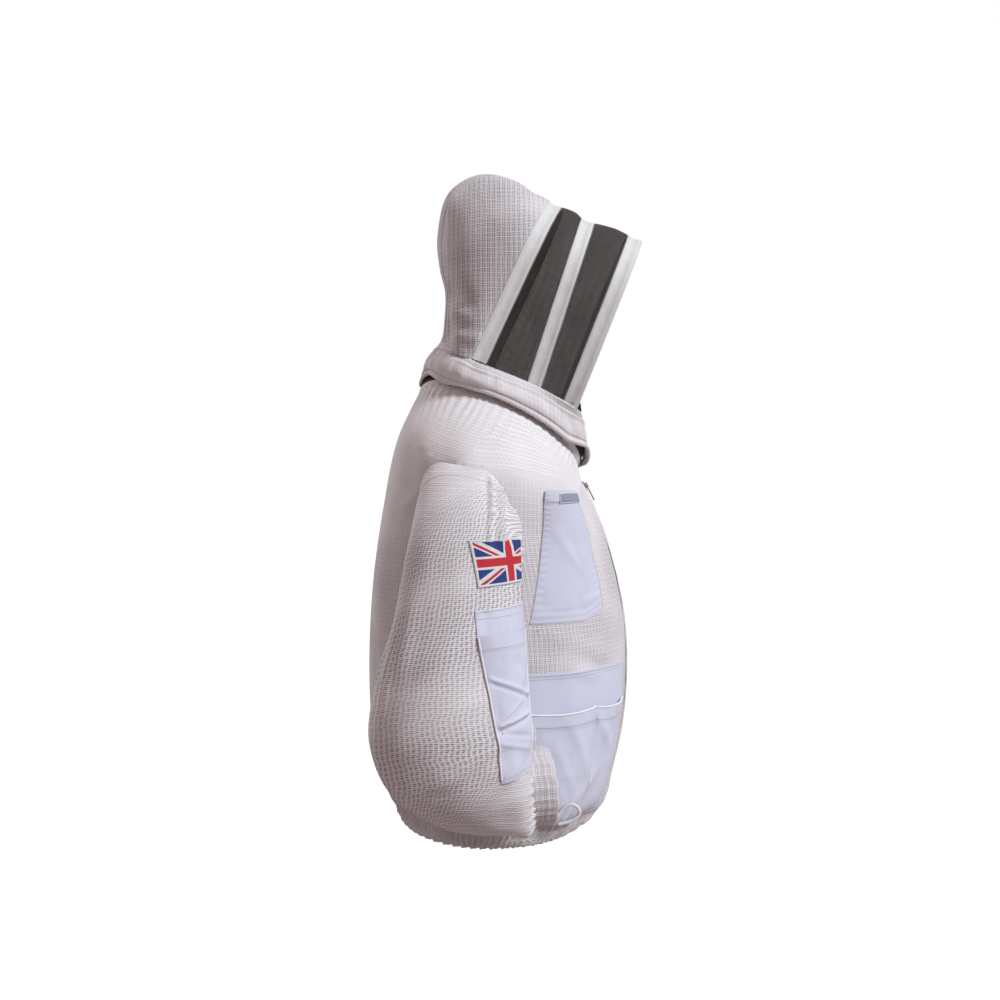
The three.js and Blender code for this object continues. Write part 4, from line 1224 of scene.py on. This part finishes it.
def draped(tree, corners, rows, columns, low=0.0):
    """Points on the sleeve under a four-sided piece, their outward normals, and the shares up and across."""
    a, b = spread(np.linspace(low, 1, rows), np.linspace(0, 1, columns))
    foot, top = corners
    across, z = (lerp(lerp(foot[k], foot[k + 2], b), lerp(top[k], top[k + 2], b), a) for k in (0, 1))
    points = np.zeros(a.shape + (3,))
    for i in np.ndindex(a.shape):
        start = ARM_ACROSS * across[i] + np.array([0, 0, z[i]]) - ARM_VIEW * 1000
        hit = tree.ray_cast(Vector(start), Vector(ARM_VIEW))[0]
        points[i] = hit if hit is not None else points[i[0], max(0, i[1] - 1)]
    points = soften(points, 3)
    n = normals(points)
    return points, n if faces_out(n) else -n, a, b


def faces_out(n):
    return n[n.shape[0] // 2, n.shape[1] // 2] @ ARM_VIEW < 0


def facing_out(grid):
    """The grid, turned over if its du x dv points into the arm."""
    return grid if faces_out(normals(grid)) else grid[:, ::-1]


def on_sleeve(name, grid, thickness, material, slot, node):
    return sheet(
        name, facing_out(grid), thickness, material, "sleeve_right", slot, [node],
        "hung", "cloth_sleeve_right_outer", cut=grid, sleeve_side="right",
    )


def add_sleeve_pocket(tree):
    points, n, a, b = draped(tree, SLEEVE_POCKET, 110, 44)
    edge = smooth(0, 0.12, b) * smooth(1, 0.88, b)
    lift = 1.2 + 7.5 * arch(b, 0.7) * np.minimum(1, a * 1.8) * lerp(0.75, 1.0, smooth(0.6, 1, a))
    lift += edge * (1.4 * noise(points, (26, 26, 30), 30) + 0.8 * noise(points, (13, 13, 16), 31))
    for at, wide, high, tilt in SLEEVE_POCKET_CREASES:
        lift += high * hump(a - tilt * (b - 0.5), at, wide) * edge
    lift += 0.8 * hump(a, 0.90, 0.008) + 0.9 * smooth(0.90, 0.915, a)
    grid = points + n * lift[..., None]
    keep("sleeve_pocket", facing_out(grid))
    on_sleeve("cloth_sleeve_pocket", grid, COTTON, COTTON_LOOK, "cotton", "sleeve_pocket")
    rim = (grid + n * 0.5)[3:-1]
    for name, column, radius in (("sleeve_pocket_edge", -1, 1.3), ("sleeve_pocket_edge_front", 0, 1.1)):
        add_piping(name, rim[:, column], "sleeve_right", radius, TRIM_LOOK, "right")


def add_sleeve_facing(tree):
    points, n, a, b = draped(tree, SLEEVE_FACING, 30, 44, low=-0.6)
    lift = 1.2 + 0.9 * noise(points, (9, 9, 40), 32) * smooth(1.0, 0.8, a) + 0.6 * hump(a, 0.93, 0.04)
    grid = points + n * lift[..., None]
    keep("sleeve_facing", facing_out(grid))
    on_sleeve("cloth_sleeve_facing", grid, COTTON, COTTON_LOOK, "cotton", "sleeve_pocket_facing")


def flag_colour(x, y):
    """0 blue, 1 white and 2 red on a flag about its middle: a plain pattern of crosses."""
    colour = np.zeros(x.shape, int)
    slope = FLAG_HIGH / FLAG_WIDE
    for sign in (1, -1):
        away = (y - sign * slope * x) / math.hypot(1, slope)
        colour[np.abs(away) < 3.4] = 1
        thin = sign * np.where(x * sign > 0, away, -away)
        colour[(thin > -2.0) & (thin < 0.2)] = 2
    colour[(np.abs(x) < 5.6) | (np.abs(y) < 5.6)] = 1
    colour[(np.abs(x) < 3.4) | (np.abs(y) < 3.4)] = 2
    return colour


def add_patch(tree):
    points, n, a, b = draped(tree, SLEEVE_PATCH, 120, 120)
    border = np.minimum(np.minimum(a, 1 - a), np.minimum(b, 1 - b)) * 60
    grid = points + n * (0.8 * hump(border, 1.4, 1.3) + 1.6)[..., None]
    obj = on_sleeve("flag_patch", grid, 1.0, PATCH_BLUE, "patch", "sleeve_patch")
    obj.data.materials.append(PATCH_WHITE)
    obj.data.materials.append(PATCH_RED)
    high = ((a[:-1, :-1] + a[1:, 1:]) / 2 - 0.5) / 0.90
    wide = ((b[:-1, :-1] + b[1:, 1:]) / 2 - 0.30) / 1.32
    colour = flag_colour(wide * FLAG_WIDE, high * FLAG_HIGH)
    colour[(np.abs(high) > 0.5) | (wide > 0.5)] = 1
    if not faces_out(normals(grid)):
        colour = colour[:, ::-1]
    index = np.ones(len(obj.data.polygons), np.int32)
    index[: colour.size] = colour.ravel()
    obj.data.polygons.foreach_set("material_index", index)


def add_sleeves():
    outer = keep("sleeve_outer", sleeve_grid(0, 180))
    inner = sleeve_grid(180, 360)
    cuff = cuff_grid()
    loop = loop_line()
    for side in SIDES:
        body_name = "sleeve_" + side
        for part, grid in (("outer", outer), ("inner", inner)):
            shown = on_side(side, grid, mirror_rows)
            sheet(
                f"cloth_sleeve_{side}_{part}", shown, AIRMESH, SLEEVE_MESH, body_name, "airmesh",
                [f"sleeve_{side}_{part}"], "hung", "cloth_back",
                cut=grid, sleeve_side=side, uv=level_pattern(shown),
            )
        sheet(
            "cloth_cuff_" + side, on_side(side, cuff, mirror_rows), COTTON, SLEEVE_MESH, body_name,
            "airmesh", ["cuff_" + side, "cuff_elastic_" + side], "gathered",
            f"cloth_sleeve_{side}_outer", cut=cuff, sleeve_side=side,
        )
        line = loop if side == "right" else loop * OTHER_SIDE
        strap = band("elastic_loop_" + side, line, (1, 0, 0), 6.5, 4.0, ELASTIC_LOOK)
        show(strap, body_name, ["thumb_loop_" + side])
    at = np.arange(outer.shape[0] * outer.shape[1]).reshape(outer.shape[:2])
    tree = BVHTree.FromPolygons([Vector(p) for p in outer.reshape(-1, 3)], quads(at).tolist())
    add_sleeve_pocket(tree)
    add_sleeve_facing(tree)
    add_patch(tree)


# ------------------------------------------------------------------ hood and veil

# Each hoop: its foot's and its crown's (y, z), its half width and how far its feet draw in.
HOOPS = [
    {"foot": (30, 88), "crown": (-84, 332), "half": 136, "pinch": 0.06},
    {"foot": (-47, 52), "crown": (-131, 308), "half": 140, "pinch": 0.1},
    {"foot": (-98, 25), "crown": (-200, 283), "half": 140, "pinch": 0.2},
]
HOOP_CAP, HOOP_SQUARE, LEG_SHARE, TAPE_WIDTH = 125.0, 2.3, 0.3, 22.0
VEIL_AXIS = unit(np.array([0, -0.93, -0.36]))


def hoop_point(hoop, share):
    share = np.asarray(share, float)
    foot, crown = hoop["foot"], hoop["crown"]
    height = math.hypot(crown[0] - foot[0], crown[1] - foot[1])
    leg = height - HOOP_CAP
    side = np.minimum(share, 1 - share)
    angle = clamp((side - LEG_SHARE) / (0.5 - LEG_SHARE)) * np.pi / 2
    round_up = leg + HOOP_CAP * np.sin(angle) ** (2 / HOOP_SQUARE)
    up = np.where(side > LEG_SHARE, round_up, side / LEG_SHARE * leg)
    narrow = 1 - hoop["pinch"] * (1 - clamp(side / LEG_SHARE)) ** 2
    width = np.where(side > LEG_SHARE, clamp(np.cos(angle)) ** (2 / HOOP_SQUARE), narrow)
    x = hoop["half"] * width * np.where(share < 0.5, -1, 1)
    return vec(x, lerp(foot[0], crown[0], up / height), lerp(foot[1], crown[1], up / height))


def even_shares(point_at, count, samples):
    """Shares from foot to foot that are evenly spaced along the line."""
    dense = np.linspace(0.004, 0.996, samples)
    run = run_of(point_at(dense))
    return np.interp(np.linspace(0, run[-1], count), run, dense)


def hoop_band(hoop, seed):
    """The tape over a hoop, swelling over the boning that runs inside it."""
    share = even_shares(lambda s: hoop_point(hoop, s), 170, 1200)
    share, along = spread(share, np.linspace(0.6 - TAPE_WIDTH / 2, TAPE_WIDTH / 2 - 0.6, 15))
    base = hoop_point(hoop, share) + VEIL_AXIS * along[..., None]
    waver = 0.5 * noise(base, (16, 16, 16), seed) + 0.35 * noise(base, (5, 5, 5), seed + 1)
    lift = 0.9 + 1.3 * hump(along, width=5.2, power=4) + waver * hump(along, width=8.0, power=6)
    return base + normals(base) * lift[..., None]


def add_hoops():
    for index, hoop in enumerate(HOOPS):
        name = f"hoop_{index + 1}"
        tape = hoop_band(hoop, 40 + 3 * index)
        nodes = [f"hoop_tape_{index + 1}", f"hoop_boning_{index + 1}"]
        sheet(
            "cloth_" + name, tape, 1.6, TAPE_LOOK, "hood", "tape", nodes, "stretched",
            "cloth_collar_right",
        )
        lowered = tape - normals(tape) * 0.3
        for edge, column, shift in (("rear", 0, -0.5), ("front", -1, 0.5)):
            line = lowered[:, column] + VEIL_AXIS * shift
            add_piping(f"{name}_piping_{edge}", line, "hood", 1.35)


def net_grid(rear, front, seed):
    """The net between two hoops. It sags in a little between them."""
    middle = lambda s: (hoop_point(rear, s) + hoop_point(front, s)) / 2
    share, along = spread(even_shares(middle, 170, 4001), np.linspace(0, 1, 40))
    clear = VEIL_AXIS * (TAPE_WIDTH / 2 - 0.8)
    base = lerp(hoop_point(rear, share) + clear, hoop_point(front, share) - clear, along[..., None])
    wave = 1.5 * noise(base, (26, 26, 26), seed) + 0.7 * noise(base, (10, 18, 10), seed + 1)
    lift = arch(along, 0.5) * wave - 3.4 * arch(along, 0.8)
    return base + normals(base) * lift[..., None]


def face_grid():
    """The net in front of the face, with a pouch at the chin."""
    across, height = spread(np.linspace(-1, 1, 110), np.linspace(0.01, 1, 90))
    hoop, side = HOOPS[2], np.abs(across)
    edge, crown = hoop_point(hoop, 0.0), hoop_point(hoop, 0.5)
    full = crown - vec(0, edge[1], edge[2])
    tall = clamp(1 - side**HOOP_SQUARE) ** (1 / HOOP_SQUARE)
    cap = HOOP_CAP / float(np.linalg.norm(full))
    climb = height * (1 - cap + cap * tall - 0.02)
    width = 1 - hoop["pinch"] * np.maximum(0, 1 - climb / (1 - cap)) ** 2
    pouch = 5 * (1 - side * side) * (1 - height) ** 2
    base = vec(
        across * (hoop["half"] - 4) * width,
        edge[1] + full[1] * climb - pouch,
        edge[2] + full[2] * climb - pouch * 0.4,
    )
    n = normals(base)
    gather = smooth(0.22, 0.0, height) * 2.6 * ripple(across * 46 + noise(base, 20, 50) * 2)
    lumps = (1 - side**6) * arch(height, 0.5) * 2.4 * noise(base, (40, 40, 60), 51)
    sag = 6 * (1 - side**2) * arch(height)
    sign = -1.0 if n[55, 45][1] > 0 else 1.0
    return base + n * (sign * (gather + lumps + sag))[..., None]


def chin_gather():
    """The veil's gathered edge, bunched on its elastic at the chin between the front hoop's feet."""
    turn, t = spread(np.linspace(-1, 1, 260), np.linspace(0, 1, 14))
    bow = 1 - turn**2
    base = vec(turn * 108, -105 - 9 * bow - 3 * arch(t), 20 + 24 * t - 8 * bow + 5 * turn**2)
    phase = turn * 66 + 2.0 * noise(base, (16, 16, 16), 55)
    puff = arch(t, 0.6)
    base[..., 1] -= puff * (2.2 * ripple(phase) + 3.0)
    base[..., 2] += 1.4 * puff * noise(base, (9, 9, 9), 56)
    return base


def facing_front(grid):
    """The grid, turned over if its outside doesn't face forward."""
    middle = normals(grid)[grid.shape[0] // 2, grid.shape[1] // 2]
    return grid if middle[1] < 0 else grid[:, ::-1]


def add_veil():
    rear, middle, front = HOOPS
    for name, grid, nodes, held, hoop in (
        ("net_rear", net_grid(rear, middle, 44), ["veil_rear"], "stretched", 1),
        ("net_front", net_grid(middle, front, 47), ["veil_front"], "stretched", 2),
        ("net_face", facing_front(face_grid()), ["veil_face"], "stretched", 3),
        ("net_chin", facing_front(chin_gather()), [], "gathered", 3),
    ):
        sheet(name, grid, VEIL, NET_LOOK, "hood", "veil", nodes, held, f"cloth_hoop_{hoop}")


HOOD_PROFILE = [
    (0, 98, 112), (0, 87, 136), (0, 84, 170), (0, 84, 205), (0, 92, 240), (0, 94, 295), (0, 82, 347),
    (0, 54, 374), (0, 18, 382), (0, -20, 370), (0, -44, 353), (0, -64, 345), (0, -77, 337),
]
HOOD_TOP_SHARE = 0.462
PROFILE_LINE = through(HOOD_PROFILE, np.linspace(0, 1, 2001))
PROFILE_RUN = run_of(PROFILE_LINE) / run_of(PROFILE_LINE)[-1]


def hood_shell(height, turn):
    """height: 0 at the foot and 1 on the crown. turn: 90 at the rear hoop's right side, 180 behind."""
    height, turn = together(height, turn)
    start = hoop_point(HOOPS[0], height * HOOD_TOP_SHARE) - VEIL_AXIS * (TAPE_WIDTH / 2 + BUTT - 1.2)
    behind = np.maximum(0, -np.cos(np.radians(turn)))
    profile = read_off(clamp(height), PROFILE_RUN, PROFILE_LINE)
    y, z = (lerp(start[..., k], profile[..., k], behind) for k in (1, 2))
    return vec(start[..., 0] * np.sin(np.radians(turn)), y, z)


def hood_grid(start, end, columns):
    height, turn = spread(np.linspace(0.004, 0.994, 150), np.linspace(start, end, columns))
    base = hood_shell(height, turn)
    n = outward(hood_shell, clamp(height, 0.01, 0.985), turn, 4e-3, 0.5)
    seam = hump(np.minimum(turn - start, end - turn), width=2.2)
    relief = hood_relief(base, height) * (1 - 0.6 * seam) - seam
    return base + n * (relief * smooth(90, 94, turn) * smooth(270, 266, turn))[..., None]


def add_hood_cloth():
    side_grid = hood_grid(90, 155, 90)
    gusset = keep("hood_gusset", hood_grid(155, 205, 70))
    for side in SIDES:
        grid = on_side(side, side_grid)
        sheet(
            "cloth_hood_" + side, grid, AIRMESH, HOOD_MESH, "hood", "airmesh", ["hood_side_" + side],
            "stretched", "cloth_hoop_1", uv=level_pattern(grid, flat=True),
        )
    sheet(
        "cloth_hood_gusset", gusset, AIRMESH, HOOD_MESH, "hood", "airmesh", ["hood_gusset"],
        "stretched", "cloth_hood_right",
    )


# ------------------------------------------------------------------ collar and its lining

COLLAR_TOP = [
    (0, -117, 15), (-114, -104, 27), (-129, -50, 55), (-131, 34, 88), (-88, 88, 108),
    (0, 102, 112), (88, 88, 108), (131, 34, 88), (129, -50, 55), (114, -104, 27),
]
COLLAR_FOLDS = [
    ((-110, -70, -25), (-128, -10, 45), 8, 3.5),
    ((-120, -85, -15), (-130, -60, 25), 7, 3.0),
    ((-60, -118, -40), (-110, -100, 5), 8, 3.0),
    ((-138, 10, 30), (-130, 60, 75), 8, 3.0),
    ((-100, 80, 60), (-60, 104, 100), 9, 2.6),
    ((-135, -30, 0), (-140, 30, 62), 7, -2.4),
]
level_out = lambda point: unit(point * (1, 1, 0))
sideways = lambda turn: np.sin(np.radians(turn)) ** 2


def collar_points(turn):
    """The collar's foot and top."""
    stand = lerp(np.where((turn > 90) & (turn < 270), 4.5, 12.0), 9.5, sideways(turn))
    cover = smooth(24, 52, turn) * smooth(156, 128, turn)
    low = neck(turn, lerp(5.0, -16.0, cover), stand)
    high = through_ring(COLLAR_TOP, np.mod(turn, 360) / 360)
    tucked = high * (0.90, 0.895, 1) + (0, 0, 13)
    return low, lerp(high, tucked, smooth(104, 138, turn)[..., None])


def collar(height, turn):
    height, turn = together(height, turn)
    low, high = collar_points(turn)
    bulge = lerp(np.where(turn < 90, 1.0, 7.0), 11.0, sideways(turn))[..., None]
    bulge = level_out(low) * bulge
    return through([low, lerp(low, high, 0.3) + bulge, lerp(low, high, 0.7) + 0.8 * bulge, high], height)


def collar_grid():
    """The padded collar: a roll at the foot, a soft belly and a double roll at the top."""
    height, turn = spread(np.linspace(0, 1, 64), np.linspace(0.9, 179.6, 230))
    base = collar(height, turn)
    rolled = smooth(128, 100, turn)
    middle = arch(height, 1.2)
    rolls = 2.6 * hump(height, 0.07, 0.07) - 1.2 * hump(height, 0.18, 0.035)
    top = 3.0 * hump(height, 0.93, 0.055) - 3.0 * hump(height, 0.80, 0.035)
    top = top + 2.2 * hump(height, 0.70, 0.06)
    lumps = 2.8 * noise(base, (30, 34, 40), 60) + 1.3 * noise(base, (13, 15, 16), 61)
    crush = 0.5 * np.cos(np.radians(turn) * 34 + 2.5 * noise(base, (24, 24, 24), 62) + 2 * height)
    lobe = 1.5 * hump(turn, 12, 16)
    sewn = (smooth(0.16, 0.0, height) + smooth(0.84, 1.0, height)) * 0.35 * np.cos(np.radians(turn) * 118)
    relief = rolls + rolled * top + middle * (lumps + crush + lobe) + sewn + folded(base, COLLAR_FOLDS)
    n = outward(collar, height, turn, 4e-3, 0.5)
    return base + n * (relief * smooth(0.9, 6, turn))[..., None]


def lining_grid():
    height, turn = spread(np.linspace(0, 0.98, 30), np.linspace(2.6, 179.4, 160))
    low = neck(turn, ZIP_TAPE + 1, 0)
    out = level_out(low)
    base = lerp(low, collar_points(turn)[1] - out * 7.0, height[..., None])
    wave = arch(height, 0.7) * (1.5 * noise(base, (24, 24, 30), 64) - 1.0)
    return base + out * wave[..., None]


def add_collar():
    grid = keep("collar", collar_grid())
    inner = lining_grid()
    for side in SIDES:
        sheet(
            "cloth_collar_" + side, on_side(side, grid), AIRMESH, COLLAR_MESH, "hood", "airmesh",
            ["collar_" + side], "hung", "cloth_hoop_1", cut=grid,
        )
        sheet(
            "cloth_collar_lining_" + side, on_side(side, inner), COTTON, LINING_LOOK, "hood", "cotton",
            ["collar_lining_" + side], "hung", "cloth_collar_" + side, cut=inner,
        )


# ------------------------------------------------------------------ pieces kept from the frame

KEPT = {
    ZIP_LOOK: [
        "neck_zip_lower_right", "neck_zip_lower_left", "neck_zip_upper_right", "neck_zip_upper_left",
        "front_zip_right", "front_zip_left",
    ],
    METAL_LOOK: [
        "front_slider", "front_pull", "neck_right_slider", "neck_right_pull", "neck_left_slider",
        "neck_left_pull", "front_zip_box",
    ],
    TAPE_LOOK: ["hang_loop"],
}


def dress_kept():
    for material, names in KEPT.items():
        for name in names:
            for slot in bpy.data.objects[name].material_slots:
                slot.link = "OBJECT"
                slot.material = material


# ------------------------------------------------------------------ teeth and stitches

BRICK_CORNERS = np.array(
    [(-1, -1, -1), (1, -1, -1), (1, 1, -1), (-1, 1, -1), (-1, -1, 1), (1, -1, 1), (1, 1, 1), (-1, 1, 1)]
)
BRICK_FACES = np.array([(0, 3, 2, 1), (4, 5, 6, 7), (0, 1, 5, 4), (1, 2, 6, 5), (2, 3, 7, 6), (3, 0, 4, 7)])
TOOTH_SIZE, TOOTH_PITCH, TOOTH_TAPER, TOOTH_OUT = (1.4, 2.6, 1.0), 2.2, 0.7, 1.3
STITCH_SIZE, STITCH_PITCH, STITCH_TAPER, STITCH_LIFT = (2.3, 0.75, 0.55), 3.2, 0.75, 0.45


def bricks(name, centres, along, up, size, taper, material):
    """Many small blocks in one mesh, with tapered tops. size is (along, across, up)."""
    along = unit(along)
    across = unit(np.cross(up, along))
    up = np.cross(along, across)
    scale = BRICK_CORNERS * np.array(size) / 2
    scale[:, :2] *= np.where(BRICK_CORNERS[:, 2:] > 0, taper, 1.0)
    corners = centres[:, None] + np.einsum("ck,kni->nci", scale, np.stack([along, across, up]))
    faces = (BRICK_FACES + 8 * np.arange(len(centres))[:, None, None]).reshape(-1, 4).tolist()
    return mesh_of(name, corners, faces, material, sharp=30.0)


def even_line(line, pitch):
    run = run_of(line)
    count = max(2, int(run[-1] / pitch))
    return read_off((np.arange(count) + 0.5) * run[-1] / count, run, line)


def add_row_of_teeth(name, even, along, out, body_name):
    show(bricks(name, even, along, out, TOOTH_SIZE, TOOTH_TAPER, TEETH_LOOK), body_name)


def add_teeth():
    """The hood's rows and the left front's are half a tooth ahead, so that they mesh with the others."""
    turn = np.linspace(2.6, 177.4, 700)
    for half, body_name, across, ahead in (("lower", "jacket", -1.4, 0), ("upper", "hood", 1.4, 0.5)):
        line = neck(turn, across, TOOTH_OUT)
        even = even_line(line, TOOTH_PITCH)
        out = read_off(even[:, 2], line[:, 2], neck(turn, across, 6.0) - line)
        along = np.gradient(even, axis=0)
        even = even + along * ahead
        for side, flip in (("right", 1), ("left", OTHER_SIDE)):
            add_row_of_teeth(f"teeth_neck_{half}_{side}", even * flip, along * flip, out * flip, body_name)
    z = np.linspace(FRONT_ZIP["bottom"] + 14, FRONT_ZIP["top"] - 22, 500)
    for side, x, ahead in (("right", -1.4, 0), ("left", 1.4, 0.5)):
        even = even_line(vec(x, on_front_zip(z), z), TOOTH_PITCH)
        along = np.gradient(even, axis=0)
        out = unit((even - np.array([0, FRONT_ZIP["y"], FRONT_ZIP["z"]])) * (0, 1, 1))
        even = even + out * TOOTH_OUT + along * ahead
        add_row_of_teeth("teeth_front_" + side, even, along, out, "jacket")


# Each line of top stitching: the surface it is on, and the index of its row or column.
CHEST_STITCHES = [("chest", "row", 97), ("chest", "row", 1), ("chest", "column", 1), ("chest", "column", 82)]
LOWER_STITCHES = [
    ("lower", "row", 94), ("lower", "column", 2), ("lower", "column", 107), ("lower", "column", 47),
    ("facing", "row", 37), ("facing", "row", 34),
]
SLEEVE_STITCHES = [
    ("sleeve_pocket", "row", 99), ("sleeve_pocket", "row", 4),
    ("sleeve_facing", "row", 27), ("sleeve_facing", "row", 20),
]
COLLAR_STITCHES = [("collar", "row", 50), ("collar", "row", 12)]
HOOD_STITCHES = [("hood_gusset", "column", 2), ("hood_gusset", "column", -3)]
HEAD_STITCHES = [("sleeve_outer", "column", 4)]


def stitched(name, lines, body_name, sleeve_side=None, flip=1):
    centres, along, up = [], [], []
    for surface, way, index in lines:
        grid = SURFACES[surface]
        pick = (lambda g: g[index]) if way == "row" else (lambda g: g[:, index])
        line, n = pick(grid) * flip, pick(normals(grid)) * flip
        even = even_line(line, STITCH_PITCH)
        normal = read_off(run_of(even) / run_of(even)[-1], run_of(line) / run_of(line)[-1], n)
        centres.append(even + normal * STITCH_LIFT)
        along.append(np.gradient(even, axis=0))
        up.append(normal)
    places = (np.concatenate(part) for part in (centres, along, up))
    obj = bricks(name, *places, STITCH_SIZE, STITCH_TAPER, THREAD_LOOK)
    show(obj, body_name, (), sleeve_side)


def add_stitches():
    stitched("stitch_chest_pocket", CHEST_STITCHES, "jacket")
    stitched("stitch_lower_pocket_right", LOWER_STITCHES, "jacket")
    stitched("stitch_lower_pocket_left", LOWER_STITCHES, "jacket", flip=OTHER_SIDE)
    stitched("stitch_sleeve_pocket", SLEEVE_STITCHES, "sleeve_right", sleeve_side="right")
    stitched("stitch_collar_right", COLLAR_STITCHES, "hood")
    stitched("stitch_collar_left", COLLAR_STITCHES, "hood", flip=OTHER_SIDE)
    stitched("stitch_hood", HOOD_STITCHES, "hood")
    stitched("stitch_hem", [("hem", "row", -3)], "jacket")
    stitched("stitch_sleeve_head_right", HEAD_STITCHES, "sleeve_right", "right")
    stitched("stitch_sleeve_head_left", HEAD_STITCHES, "sleeve_left", "left", OTHER_SIDE)


add_body()
add_chest_pocket()
add_lower_pockets()
add_sleeves()
add_hoops()
add_veil()
add_hood_cloth()
add_collar()
dress_kept()
add_teeth()
add_stitches()
